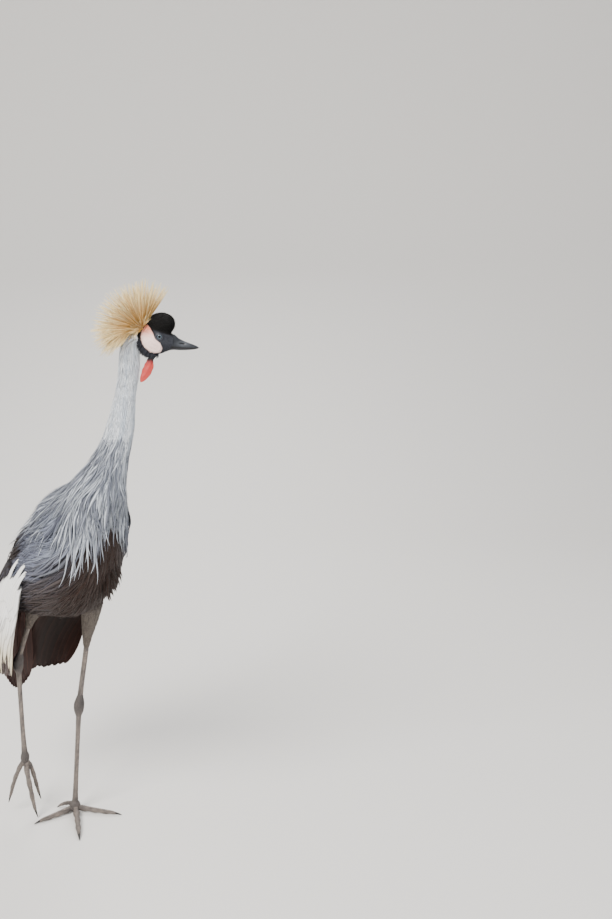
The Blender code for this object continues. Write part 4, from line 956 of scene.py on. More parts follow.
def spreadNeck(count, low, high, seed, power=1.0):
    draw = np.random.default_rng(seed)
    z = low + (high - low) * draw.uniform(0, 1, count * 2) ** power
    x, y, radius = (np.interp(z, neckPath[:, 2], column) for column in (neckPath[:, 0], neckPath[:, 1], neckPath[:, 3]))
    kept = draw.uniform(0, 0.045, len(z)) < radius
    z, x, y, radius = z[kept][:count], x[kept][:count], y[kept][:count], radius[kept][:count]
    turn = draw.uniform(0, 2 * math.pi, len(z))
    return np.column_stack([x + radius * np.cos(turn), y + radius * np.sin(turn), z])


def plumeWay(points, outs):
    over = ease(0.70, 0.62, points[:, 2])
    hang = bodyWay(points, outs) * 0.7 + np.array([-0.10, 0.0, -0.8])
    return neckWay(points) * (1 - over)[:, None] + hang * over[:, None]


def neckTint(points):
    index = np.clip(np.searchsorted(neckPath[:, 2], points[:, 2]), 0, len(neckPath) - 1)
    offset = points - neckPath[index, :3]
    turn = np.arctan2(offset[:, 1], offset[:, 0])
    # Streaks of painted shade between the locks; the neck is also darker lower down and slate at its base
    lockShade = np.sin(turn * 7 + points[:, 2] * 22) + np.sin(turn * 13 - points[:, 2] * 31 + 1.3) + waves(points, 0.03, 41)
    low = 0.34 * ease(0.80, 0.67, points[:, 2])
    tint = blend(colours["neckPale"], colours["neckShade"], np.clip(0.32 + low + 0.30 * lockShade, 0, 1))
    return blend(tint, colours["plumeSlate"], 0.35 * ease(0.69, 0.62, points[:, 2]))


def makeNeckCoat():
    stations = neckCoat["stations"]
    roots = spreadNeck(neckCoat["hackles"], 0.62, 0.945, 42)
    roots = roots[nape(roots) + (roots[:, 2] < 0.902) > 0.5]
    count = len(roots)
    draw = np.random.default_rng(43)
    high = ease(0.86, 0.915, roots[:, 2])
    lengths = neckCoat["length"] * draw.uniform(0.7, 1.3, count)
    lifts = liftRows(count, stations, -0.0003, neckCoat["lift"], 1.0) + high[:, None] * neckCoat["napeLift"] * np.linspace(0, 1, stations) ** 0.7 * draw.uniform(0.4, 1.1, (count, 1))
    places, normals = trace(wholeGround, roots, lengths, stations, lambda points, outs: neckWay(points), lifts, 0.10, 0.16, 44)
    tints = vary(neckTint(roots), 0.07, 45)
    widths = neckCoat["width"] * draw.uniform(0.8, 1.3, count)
    vaneMesh("neckHackles", places, normals, widths, "hackle", tints, neckUnwrap, "neckPlumes", "neck_plumes", np.linspace(0.85, 1.1, stations))
    for seed, (name, count, low, high, length, width, stations, lift, pale) in enumerate(neckCoat["rows"]):
        draw = np.random.default_rng(46 + seed)
        roots = spreadNeck(count, low, high, 50 + seed, 1.1)
        count = len(roots)
        offset = roots[:, :2] - np.stack([np.interp(roots[:, 2], neckPath[:, 2], neckPath[:, axis]) for axis in (0, 1)], -1)
        offset = unit(offset)
        # The breast carries fewer and shorter plumes, the shoulders and back the longest
        front = ease(0.35, 0.85, offset @ np.array([0.80, 0.60]))
        kept = draw.uniform(0, 1, count) > 0.62 * front * ease(0.72, 0.66, roots[:, 2])
        roots, front, offset = roots[kept], front[kept], offset[kept]
        count = len(roots)
        lengths = length * draw.uniform(0.50, 1.10, count) * (1.0 - 0.20 * front + 0.16 * ease(0.1, 0.9, -offset[:, 0]))
        lifts = liftRows(count, stations, -0.0003, lift, 0.7, 0.25, seed) * (1 - 0.55 * front[:, None])
        places, normals = trace(torsoGround, roots, lengths, stations, plumeWay, lifts, 0.09, 0.18, 54 + seed)
        # Over the back they lie on the raised shoulder plumes
        at, around, reach = (value.reshape(count, stations) for value in bodyPlace(places.reshape(-1, 3)))
        raised = neckCoat["backLift"] * ease(0.030, 0.130, at) * ease(math.radians(84), math.radians(44), np.abs(around))
        places = places + normals * raised[..., None]
        light = draw.uniform(0, 1, count) ** 0.8 * 0.5 + pale * 0.5
        light *= np.where(draw.uniform(0, 1, count) < 0.50 + 0.22 * ease(-0.1, 0.8, -offset[:, 0]), 0.24, 1.0)
        tints = vary(blend(colours["plumeSlate"] * 0.70, colours["plumePale"], light), 0.06, 58 + seed)
        widths = width * draw.uniform(0.6, 1.2, count)
        vaneMesh(name, places, normals, widths, "lance", tints, neckUnwrap, "neckPlumes", "neck_plumes", np.linspace(0.9, 1.12, stations))


makeBodyCoat()
print("body feathers laid")
makeNeckCoat()
print("neck feathers laid")


# Thighs: short pale feathers down to the bare shin
thighCoat = {"feathers": 1900, "length": 0.015, "width": 0.0034, "stations": 4, "lift": 0.0017}


def makeThighCoat():
    allPlaces, allNormals = [], []
    draw = np.random.default_rng(51)
    for side in legPaths.values():
        path = smoothPath(side["thigh"], 60)
        tangents = unit(np.gradient(path, axis=0))
        count = thighCoat["feathers"]
        pick = (draw.uniform(0.02, 1, count) * 59).astype(int)
        around = unit(draw.normal(size=(count, 3)))
        roots = path[pick] + unit(around - tangents[pick] * np.sum(around * tangents[pick], 1)[:, None]) * 0.012

        def thighWay(points, outs):
            nearest = np.argmin(np.linalg.norm(points[:, None, :] - path[None], axis=2), axis=1)
            return -tangents[nearest]

        lengths = thighCoat["length"] * draw.uniform(0.7, 1.25, count)
        lifts = liftRows(count, thighCoat["stations"], -0.0003, thighCoat["lift"])
        places, normals = trace(bodyGround, roots, lengths, thighCoat["stations"], thighWay, lifts, 0.12, 0.1, 52)
        allPlaces.append(places)
        allNormals.append(normals)
    places, normals = np.concatenate(allPlaces), np.concatenate(allNormals)
    tints = vary(np.tile(colours["thighGrey"], (len(places), 1)), 0.10, 53)
    # The feathers at the top of each thigh, under the belly, take the flanks' painted shade
    dark = ease(0.415, 0.455, places[:, 0, 2])
    tints = blend(tints, colours["flankShade"], dark)
    widths = thighCoat["width"] * draw.uniform(0.8, 1.2, len(places))
    rootShade = np.linspace(0.85, 1.15, thighCoat["stations"])
    vaneMesh("thighCoat", places, normals, widths, "hackle", tints, bodyUnwrap, "bodyPlumes", "body_plumage", rootShade)


# Head: velvet on the cap and face, none on the cheek, the lids or the bill
headCoat = {"tufts": 15000, "capLength": 0.0036, "faceLength": 0.0021, "width": 0.00095, "stations": 3}


def spreadMesh(points, faces, count, weigh, seed):
    draw = np.random.default_rng(seed)
    corners = points[faces]
    areas = np.linalg.norm(np.cross(corners[:, 1] - corners[:, 0], corners[:, 2] - corners[:, 0]), axis=1)
    weights = np.cumsum(areas * weigh(corners.mean(axis=1)))
    picks = np.searchsorted(weights, draw.uniform(0, weights[-1], count))
    mix = draw.dirichlet((1, 1, 1), count)
    return np.einsum("nk,nkj->nj", mix, corners[picks])


def headWay(points, outs):
    forward, left, up = headLocal(points)
    c, s = math.cos(form["headTurn"]), math.sin(form["headTurn"])
    back = np.array([-c, -s, 0.0])
    crown = ease(0.010, 0.020, up)
    lift = 0.15 * crown - 0.75 * ease(0.0, -0.02, up)
    return back + np.array([0.0, 0.0, 1.0]) * lift[:, None]


def headWeight(points):
    forward, left, up = headLocal(points)
    bare = cheekShare(points)
    lids = (np.hypot(forward / 0.0066, up / 0.0058) < 1.0) & (np.abs(left) > 0.008)
    crown = 1 + 0.5 * ease(0.005, 0.02, up)
    front = np.where(up > 0.003, 0.040, 0.0222)
    return crown * (1 - bare) * ~lids * (forward < front) * (points[:, 2] > 0.892) * (1 - nape(points))


def makeHeadCoat():
    roots = spreadMesh(headSkinPoints, headSkinFaces, headCoat["tufts"], headWeight, 61)
    count = len(roots)
    draw = np.random.default_rng(62)
    forward, left, up = headLocal(roots)
    crown = ease(0.004, 0.016, up)
    lengths = (headCoat["faceLength"] + (headCoat["capLength"] - headCoat["faceLength"]) * crown) * draw.uniform(0.7, 1.2, count)
    rim = ease(0.004, 0.0, -insideOutline(forward, up, cheekOutline))
    lengths *= 1 - 0.5 * rim
    lifts = liftRows(count, headCoat["stations"], -0.0002, 0.0013, 0.8) * (1 + 0.7 * crown[:, None])
    places, normals = trace(headGround, roots, lengths, headCoat["stations"], headWay, lifts, 0.2, 0.1, 63)
    # None lies over the bare cheek
    forward, left, up = headLocal(places[:, -1])
    kept = insideOutline(forward, up, cheekOutline) < 0.0007
    places, normals, roots = places[kept], normals[kept], roots[kept]
    tints = vary(headTint(roots), 0.14, 64)
    vaneMesh("headCoat", places, normals, headCoat["width"] * draw.uniform(0.7, 1.3, len(roots)), "tuft", tints, headUnwrap, "velvet", "velvet")


# Throat: dark feathers hang under the cheek and in two strands down to the wattle
throat = {"tufts": 800, "length": 0.0092, "width": 0.0013, "stations": 4, "strands": 90}


def makeThroat():
    def weigh(points):
        forward, left, up = headLocal(points)
        below = -insideOutline(forward, up, cheekOutline)
        return (below > 0.0006) * (below < 0.010) * (up < -0.004) * (forward < -0.002) * (1 - nape(points)) + 1e-9

    roots = spreadMesh(headSkinPoints, headSkinFaces, throat["tufts"], weigh, 66)
    draw = np.random.default_rng(67)
    count = len(roots)
    c, s = math.cos(form["headTurn"]), math.sin(form["headTurn"])
    down = unit(np.array([-c * 0.45, -s * 0.45, -1.0]))
    lengths = throat["length"] * draw.uniform(0.5, 1.15, count)
    share = np.linspace(0, 1, throat["stations"])
    found, outs = settle(headGround, roots)
    ways = unit(down + outs * 0.25 + draw.normal(0, 0.10, (count, 3)))
    places = found[:, None] + ways[:, None] * (lengths[:, None] * share)[..., None] + (outs * 0.0010)[:, None] * np.sin(share * math.pi)[None, :, None]
    strand = np.repeat(np.array([(-0.0175, 0.0030, -0.0285), (-0.0065, 0.0030, -0.0290)]), throat["strands"] // 2, axis=0)
    tip = np.tile((-0.0165, 0.0, -0.0440), (len(strand), 1)) + (strand - (-0.012, 0, -0.029)) * (0.55, 0.5, 0.3)
    mirror = np.where(draw.uniform(0, 1, (len(strand), 1)) < 0.5, 1.0, -1.0) * np.array([0, 1, 0]) + np.array([1, 0, 1])
    strand = strand * mirror + draw.normal(0, 0.0009, strand.shape)
    tip = tip * mirror + draw.normal(0, 0.0007, strand.shape)
    reach = draw.uniform(0.6, 1.05, (len(strand), 1, 1))
    local = strand[:, None] + (tip - strand)[:, None] * share[None, :, None] * reach
    more = headPlace(local[..., 0], local[..., 1], local[..., 2])
    places = np.concatenate([places, more])
    normals = np.concatenate([np.repeat(outs[:, None], len(share), axis=1), np.tile(headPlace(0, 1, 0) - headPlace(0, 0, 0), (len(more), len(share), 1))])
    forward, left, up = headLocal(places)
    kept = (insideOutline(forward.ravel(), up.ravel(), cheekOutline).reshape(up.shape) < 0.0006).all(axis=1)
    places, normals = places[kept], normals[kept]
    tints = vary(np.tile(colours["napeDark"], (len(places), 1)), 0.2, 68)
    widths = throat["width"] * draw.uniform(0.7, 1.3, len(places))
    vaneMesh("throatTufts", places, normals, widths, "tuft", tints, headUnwrap, "velvet", "velvet")


makeThighCoat()
makeHeadCoat()
makeThroat()
print("thighs and head feathered")


# ---- wings
wings = {
    "roots": ((0.212, 94), (0.236, 62), (0.258, 30)),
    "sheet": (
        ((0.004, 0.077, 0.408), (-0.026, 0.069, 0.338), (-0.058, 0.048, 0.262)),
        ((-0.060, 0.074, 0.420), (-0.096, 0.064, 0.330), (-0.124, 0.044, 0.246)),
        ((-0.124, 0.026, 0.432), (-0.160, 0.020, 0.322), (-0.177, 0.016, 0.205)),
    ),
    "shift": {-1: (-0.003, 0.010), 1: (-0.010, -0.006)},
    "stations": 14,
    "roll": 0.16,
    # kind, feathers, from, to, lift off the body, overlap
    "tiers": (
        ("flight", 9, 0.04, 0.975, 0.0020, 2.3),
        ("flight", 8, 0.08, 0.925, 0.0032, 2.2),
        ("covert", 19, 0.00, 0.955, 0.0052, 1.9),
        ("covert", 21, 0.02, 0.84, 0.0066, 1.9),
        ("small", 23, 0.00, 0.63, 0.0076, 1.9),
        ("small", 25, 0.00, 0.46, 0.0086, 1.9),
        ("small", 27, 0.00, 0.30, 0.0094, 1.9),
    ),
    "ends": {"flight": 0.975, "covert": 0.84, "small": 0.74},
    # dark pointed plumes over the back half of the wing: how far forward, how far down, how broad
    "cloak": {"plumes": 130, "from": 0.38, "reach": (0.06, 0.44), "lift": 0.0114, "width": 0.0086, "stations": 10},
}


def wingSheet(side):
    ahead, above = wings["shift"][side]
    feathers = []
    for (t, turn), rows in zip(wings["roots"], wings["sheet"]):
        root = bodyPoint(np.array([t]), np.array([-side * math.radians(turn)]), np.array([0.001]))[0][0]
        places = [(forward + ahead, form["midline"] + side * out, up + above) for forward, out, up in rows]
        keys = np.column_stack([np.linspace(0, 1, 4), np.vstack([root, places])])
        feathers.append(smoothRows(keys, 300))
    return feathers


def sheetAt(feathers, q, s):
    rows = [np.stack([np.interp(s, table[:, 0], column) for column in table.T[1:]], -1) for table in feathers]
    weights = ((q - 0.5) * (q - 1) * 2, -q * (q - 1) * 4, q * (q - 0.5) * 2)
    return sum(weight[..., None] * row for weight, row in zip(weights, rows))


def sheetPlace(feathers, side, q, s, lift):
    here = sheetAt(feathers, q, s)
    down = sheetAt(feathers, q, np.minimum(s + 0.02, 1)) - sheetAt(feathers, q, np.maximum(s - 0.02, 0))
    back = sheetAt(feathers, q + 0.02, s) - sheetAt(feathers, q - 0.02, s)
    outward = unit(np.cross(down, back) * side)
    held, radial, reach = drape(here.reshape(-1, 3), lift.reshape(-1))
    held, radial, reach = held.reshape(here.shape), radial.reshape(here.shape), reach.reshape(lift.shape)
    near = np.clip(2.6 - 1.6 * reach, 0, 1)[..., None]
    outward = unit(outward * (1 - near) + radial * near)
    pushed = np.linalg.norm(held - here, axis=-1)
    return held + outward * np.maximum(lift - pushed, 0)[..., None], outward


def wingTint(kind, q, s, draw):
    dark = blend(colours["flightBlack"], colours["chestnut"], np.clip(0.1 + 0.6 * s + draw.uniform(-0.2, 0.3, (len(q), 1)), 0, 1))
    if kind == "flight":
        return dark * draw.uniform(0.7, 1.35, (len(q), 1, 1))
    straw = ease(0.40, 0.85, s)
    pale = blend(colours["covertWhite"], colours["covertStraw"], np.clip(straw + draw.uniform(-0.12, 0.12, (len(q), 1)), 0, 1))
    pale = pale * draw.uniform(0.9, 1.0, (len(q), 1, 1))
    tip = ease(0.80, 0.88, s) * draw.uniform(0.0, 0.6, (len(q), 1))
    return blend(pale, colours["chestnut"] * 1.6, tip)


def wingUnwrap(points):
    return np.column_stack([np.clip(0.5 + (points[:, 0] + 0.08) * 2.2, 0.01, 0.99), np.clip((points[:, 2] - 0.18) * 2.6, 0.01, 0.99)])


def makeWing(name, side, seed):
    feathers = wingSheet(side)
    stations = wings["stations"]
    share = 1 - (1 - np.linspace(0, 1, stations)) ** 1.5
    made = {"flight": [], "covert": [], "small": []}
    draw = np.random.default_rng(seed)
    for index, (kind, count, start, end, lift, overlap) in enumerate(wings["tiers"]):
        q = (np.arange(count) + 0.25 + 0.5 * (index % 2)) / count
        if kind == "flight":
            q = 0.98 * q if side > 0 else 0.10 + 0.88 * q
        q = np.repeat(np.clip(q + draw.uniform(-0.012, 0.012, count), 0.0, 1.0)[:, None], stations, axis=1)
        tip = end * draw.uniform(wings["ends"][kind], 1.0, count)
        if side > 0:
            tip = tip * (1 - 0.07 * ease(0.22, 0.0, q[:, 0]))
        s = start + (tip - start)[:, None] * share
        rise = lift * np.minimum(0.2 + share * 4.5, 1.0) + 0.0008 * share
        places, outs = sheetPlace(feathers, side, q, s, np.tile(rise, (count, 1)))
        step = np.linalg.norm(sheetAt(feathers, q + 0.5 / count, s) - sheetAt(feathers, q - 0.5 / count, s), axis=-1)
        outline = bladeShapes["flight" if kind == "flight" else "covert"](share)
        widths = np.maximum(step, 0.006) * overlap * outline
        tangents = unit(np.gradient(places, axis=1))
        across = unit(np.cross(tangents, outs))
        outs = unit(outs * math.cos(wings["roll"]) - across * math.sin(wings["roll"]) * side)
        tints = wingTint(kind, q, s, draw)
        made[kind].append((places, outs, widths, tints))
    titles = {"flight": "Flights", "covert": "Coverts", "small": "SmallCoverts"}
    for kind, sets in made.items():
        places, outs, widths, tints = (np.concatenate(group) for group in zip(*sets))
        finish = "tailFeathers" if kind == "flight" else "wingFeathers"
        vaneMesh(name + titles[kind], places, outs, widths, "quill", tints, wingUnwrap, finish, "wing_feathers", broad=True)
    cloak = wings["cloak"]
    count, stations = cloak["plumes"], cloak["stations"]
    share = np.linspace(0, 1, stations)
    q = cloak["from"] + (1 - cloak["from"]) * (np.arange(count) + draw.uniform(0, 1, count)) / count
    order = draw.permutation(count)
    q = np.clip(q, 0, 1)[order]
    low, high = cloak["reach"]
    reach = (low + (high - low) * ease(cloak["from"], 0.90, q)) * draw.uniform(0.45, 1.08, count)
    bend = draw.normal(0, 0.020, count)[:, None] * share**2 + 0.012 * np.sin(share * 4 + draw.uniform(0, 6, (count, 1))) * share
    q, s = np.clip(q[:, None] + bend, 0, 1), reach[:, None] * share
    rise = cloak["lift"] * np.minimum(0.3 + share * 2.5, 1) + draw.uniform(-0.0012, 0.0014, (count, 1)) * share + 0.001 * share
    places, outs = sheetPlace(feathers, side, q, s, rise)
    tints = blend(colours["flightBlack"] * 1.6, colours["backSlate"], draw.uniform(0, 0.8, count) ** 1.5)
    tints = vary(tints, 0.12, seed + 5)
    widths = cloak["width"] * draw.uniform(0.7, 1.2, count)
    vaneMesh(name + "Cloak", places, outs, widths, "lance", tints, wingUnwrap, "bodyPlumes", "wing_feathers", np.linspace(0.85, 1.15, stations))


# Shoulders: slate plumes that sweep back over the folded wings
shoulders = {
    # plumes, first and last place down the body and turn in degrees, length, width, lift
    "rows": (
        (330, (0.110, 0.210), (-10, 92), 0.096, 0.0080, 0.0098),
        (330, (0.050, 0.140), (-6, 112), 0.110, 0.0076, 0.0104),
        (280, (0.015, 0.080), (-6, 118), 0.112, 0.0070, 0.0108),
    ),
    "stations": 12,
    # white covert ends that show between them: down the body and turn, root to tip
    "prongs": (
        ((0.142, 75), (0.165, 78), (0.200, 83), (0.245, 88)),
        ((0.150, 84), (0.172, 86), (0.205, 90), (0.240, 95)),
        ((0.174, 61), (0.200, 67), (0.230, 74), (0.262, 80)),
        ((0.246, 63), (0.262, 68), (0.280, 74), (0.300, 80)),
    ),
    "prongWidth": 0.0092,
    "prongLift": 0.0128,
    "mantle": 1.95,
}


def shoulderEnd(turn):
    return 0.215 + 0.078 * ease(math.radians(72), math.radians(44), turn) - 0.022 * ease(math.radians(60), math.radians(76), turn) * ease(math.radians(96), math.radians(82), turn)


def makeShoulders(name, side, seed):
    stations = shoulders["stations"]
    sets = []
    for row, (count, down, around, length, width, lift) in enumerate(shoulders["rows"]):
        draw = np.random.default_rng(seed + row)
        t, turn = draw.uniform(*down, count), np.radians(draw.uniform(*around, count))
        roots = bodyPoint(t, -side * turn, 0 * t)[0]
        lengths = np.minimum(length * draw.uniform(0.7, 1.15, count), (shoulderEnd(turn) - t) * draw.uniform(0.95, 1.3, count) * 1.15)
        share = np.linspace(0, 1, stations)
        lifts = lift * np.minimum(0.02 + share * 2.4, 1.0) + 0.0026 * share**2
        at = t[:, None] + lengths[:, None] * share
        top = 0.35 + shoulders["mantle"] * ease(0.030, 0.135, at) * ease(0.34, 0.22, at)
        beside = ease(math.radians(30), math.radians(72), turn)[:, None]
        breast = 1 - 0.65 * ease(math.radians(68), math.radians(96), turn)[:, None] * ease(0.15, 0.06, at)
        lifts = lifts[None, :] * draw.uniform(0.85, 1.1, (count, 1)) * (top * (1 - beside) + beside) * breast
        places, outs = trace(torsoGround, roots, lengths, stations, bodyWay, lifts, 0.08, 0.20, seed + row)
        tint = blend(colours["plumeSlate"], colours["backSlate"], draw.uniform(0.0, 1.0, count))
        tint = blend(tint, colours["flankPale"] * 0.8, 0.4 * ease(math.radians(98), math.radians(125), turn))
        tint = blend(tint, colours["neckShade"], 0.25 * ease(0.10, 0.02, t) * draw.uniform(0, 1, count))
        tint = np.repeat(vary(tint, 0.12, seed + 9)[:, None], stations, axis=1)
        at, around, reach = (value.reshape(count, stations) for value in bodyPlace(places.reshape(-1, 3)))
        dark = ease(0.165, 0.205, at) * ease(math.radians(68), math.radians(54), np.abs(around))
        sets.append((places, outs, width * draw.uniform(0.7, 1.2, count), blend(tint, colours["flightBlack"] * 1.5, dark)))
    places, outs, widths, tints = (np.concatenate(group) for group in zip(*sets))
    vaneMesh(name, places, outs, widths, "lance", tints, bodyUnwrap, "bodyPlumes", "wing_feathers", np.linspace(0.75, 1.3, stations))
    rows = np.array([smoothPath([(t + 0.014 * (side + 1), math.radians(turn), 0.0) for t, turn in prong], 9) for prong in shoulders["prongs"]])
    rise = shoulders["prongLift"] * np.array([0.10, 0.50, 0.80, 0.94, 1, 0.98, 0.95, 0.9, 0.85])
    places, outs = bodyPoint(rows[..., 0], -side * rows[..., 1], rise + 0 * rows[..., 0])
    widths = shoulders["prongWidth"] * np.array([0.16, 0.55, 0.80, 0.95, 1.1, 1.25, 1.35, 1.3, 1.0])[None, :] * np.ones((len(rows), 1))
    tints = np.tile(colours["covertWhite"], (len(rows), 1))
    vaneMesh(name + "White", places, outs, widths, "quill", tints, bodyUnwrap, "wingFeathers", "wing_feathers", broad=True)


makeWing("rightWing", -1, 71)
makeWing("leftWing", 1, 73)
makeShoulders("rightShoulder", -1, 75)
makeShoulders("leftShoulder", 1, 77)
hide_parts("wing_right")
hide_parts("wing_left")
print("wings made")


# ---- tail
tailSizes = {
    "path": ((-0.132, -0.040, 0.385), (-0.139, -0.040, 0.325), (-0.143, -0.040, 0.265), (-0.146, -0.040, 0.212)),
    "base": ((-0.112, -0.040, 0.440), (-0.132, -0.040, 0.380), (-0.139, -0.040, 0.325)),
    "baseRadii": ((0.014, 0.008), (0.019, 0.008), (0.020, 0.006), (0.017, 0.004), (0.010, 0.002)),
    "feathers": 12,
    "spread": 0.028,
    "width": 0.027,
    "stations": 14,
}


def makeTail():
    path = smoothPath(tailSizes["path"], tailSizes["stations"])
    share = np.linspace(0, 1, tailSizes["stations"])
    count = tailSizes["feathers"]
    rank = np.arange(count) - (count - 1) / 2
    aside = rank / (count / 2)
    places = np.repeat(path[None], count, axis=0)
    places[:, :, 0] += (0.0010 * np.abs(rank) + 0.0004)[:, None]
    places[:, :, 1] += tailSizes["spread"] * aside[:, None] * (0.45 + 0.55 * share)
    places[:, :, 2] += share * (0.022 * aside[:, None] ** 2 + 0.022 * ease(0.3, -0.9, aside)[:, None])
    outs = np.tile(unit(np.array([-1.0, 0.0, 0.15])), (count, tailSizes["stations"], 1))
    widths = tailSizes["width"] * bladeShapes["round"](share)[None, :] * np.ones((count, 1))
    tints = vary(blend(colours["flightBlack"], colours["chestnut"], 0.5 + 0.4 * np.abs(aside)), 0.1, 81)
    vaneMesh("tailFeathers", places, outs, widths, "quill", tints, wingUnwrap, "tailFeathers", "tail_feathers", broad=True)
    base = smoothPath(tailSizes["base"], 24)
    radii = np.array(tailSizes["baseRadii"])
    sizes = np.stack([sampledRadii(radii[:, 0], 24), sampledRadii(radii[:, 1], 24)], -1)
    root = outwardMesh("tailRoot", [closedRings(tubeRings(base, sizes, 24, up=(1, 0, 0)))], finishes["tailFeathers"])
    addTint(root.data, np.tile(colours["flightBlack"], (len(root.data.vertices), 1)))
    ground = groundOf(root)
    draw = np.random.default_rng(82)
    roots = meshPoints(root)[draw.integers(0, len(root.data.vertices), 700)] + draw.normal(0, 0.002, (700, 3))
    lengths = draw.uniform(0.024, 0.045, 700)
    places, normals = trace(ground, roots, lengths, 6, lambda points, outs: np.tile([-0.15, 0.0, -1.0], (len(points), 1)), liftRows(700, 6, -0.0004, 0.0022), 0.12, 0.1, 83)
    tints = vary(np.tile(blend(colours["flightBlack"], colours["chestnut"], 0.5), (700, 1)), 0.2, 84)
    vaneMesh("tailCoverts", places, normals, draw.uniform(0.005, 0.009, 700), "hackle", tints, wingUnwrap, "bodyPlumes", "tail_feathers")
    declare(root, "tail_feathers", "tail")


makeTail()
print("tail made")


# ---- crest
crest = {
    "bristles": 1150, "ruff": 420, "short": 520, "root": (-0.0300, 0.0, 0.0115), "dome": 0.0088, "length": 0.084,
    "lean": math.radians(135), "fan": math.radians(80), "level": math.radians(176), "spread": math.radians(50),
    "width": 0.00135, "stations": 7,
}


def crestWay(rise, aside):
    return np.stack([np.cos(rise) * np.cos(aside), np.sin(aside), np.sin(rise) * np.cos(aside)], -1)


def crestFan(draw):
    count = crest["bristles"]
    index = np.arange(count)
    radius = ((index + 0.5) / count) ** 0.42
    angle = index * math.pi * (3 - math.sqrt(5)) + draw.normal(0, 0.05, count)
    rise = crest["lean"] + crest["fan"] * radius * np.cos(angle)
    aside = crest["spread"] * radius * np.sin(angle)
    length = crest["length"] * draw.uniform(0.40, 1.0, count) ** 0.55
    length *= 1 + 0.035 * ease(math.radians(145), math.radians(180), rise)
    # A ruff beside the nape, and short bristles over the crown's own bump
    ruff, short = crest["ruff"], crest["short"]
    turned = np.where(draw.uniform(0, 1, ruff) < 0.5, -1, 1)
    rise = np.concatenate([rise, np.radians(draw.uniform(176, 221, ruff)), np.radians(draw.uniform(50, 230, short))])
    aside = np.concatenate([aside, turned * np.radians(draw.uniform(10, 52, ruff)), np.radians(draw.uniform(-82, 82, short))])
    length = np.concatenate([length, crest["length"] * draw.uniform(0.55, 0.98, ruff), draw.uniform(0.016, 0.042, short)])
    return rise, aside, length


def makeCrest():
    draw = np.random.default_rng(91)
    rise, aside, length = crestFan(draw)
    count = len(rise)
    level = np.where(rise > crest["level"], crest["level"] + (rise - crest["level"]) * 0.35, rise)
    share = np.linspace(0.09, 1, crest["stations"])[None, :, None]
    straight = crestWay(level, aside)[:, None] * length[:, None, None] * share
    final = crestWay(rise, aside)[:, None] * length[:, None, None]
    knee = crestWay(level, aside)[:, None] * (length * 0.46)[:, None, None]
    beyond = knee + (final - knee) * (share - 0.46) / 0.54
    local = np.where(share <= 0.46, straight, beyond) + np.array(crest["root"])
    local = local + draw.normal(0, 0.0014, (count, 1, 3)) * share**2
    places = headPlace(local[..., 0], local[..., 1], local[..., 2])
    # Bristles that would pass through the crown, the cheek or the neck are left out
    kept = np.ones(count, bool)
    for row in range(count):
        for place in places[row, 2:]:
            near, normal, face, distance = wholeGround.find_nearest(Vector(place))
            if (Vector(place) - near).dot(normal) < 0:
                kept[row] = False
                break
    places, length, rise = places[kept], length[kept], rise[kept]
    count = len(places)
    outs = unit(draw.normal(size=(count, 1, 3)) * 0.3 + np.array([0.7, -0.7, 0.3])) + 0 * places
    share = np.linspace(0, 1, crest["stations"])
    mix = np.clip(0.04 + 0.96 * share[None, :] ** 2.0 + draw.uniform(-0.12, 0.12, (count, 1)), 0, 1)
    tints = blend(colours["straw"], colours["strawPale"], mix)
    tints = blend(tints, colours["strawDark"], (ease(0.40, 0.0, share)[None, :] * 0.15) + 0 * mix)
    tints = tints * (0.76 + 0.36 * draw.uniform(0, 1, (count, 1, 1)) ** 0.6)
    widths = crest["width"] * draw.uniform(0.7, 1.25, (count, 1)) * np.interp(share, [0, 0.6, 1], [1.0, 0.85, 0.3])[None, :]
    pieces = vaneMesh("crestBristles", places, outs, widths, "tuft", tints, headUnwrap, "crestStraw", "crest_straw")
    dome = outwardMesh("crestRoot", [ballPart(headPlace(*crest["root"]), (crest["dome"],) * 3)], finishes["crestStraw"])
    addTint(dome.data, np.tile(colours["straw"], (len(dome.data.vertices), 1)))
    declare(dome, "crest_straw")
    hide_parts("crest")


makeCrest()
print("crest made")


# ---- bill, wattle and eyes
bill = {
    "rows": (  # forward, ridge, half width, keel, lower half width
        (0.0180, 0.0020, 0.0088, -0.0238, 0.0084), (0.0222, 0.0030, 0.0086, -0.0234, 0.0080),
        (0.0300, -0.0030, 0.0066, -0.0238, 0.0062), (0.0390, -0.0078, 0.0052, -0.0237, 0.0048),
        (0.0480, -0.0112, 0.0040, -0.0231, 0.0037), (0.0570, -0.0145, 0.0027, -0.0221, 0.0024),
        (0.0625, -0.0172, 0.0015, -0.0209, 0.0013), (0.0652, -0.0194, 0.0004, -0.0203, 0.0003),
    ),
    "gape": -0.0188,
    "nostril": (0.0365, -0.0122, 0.0048, 0.0013),
}


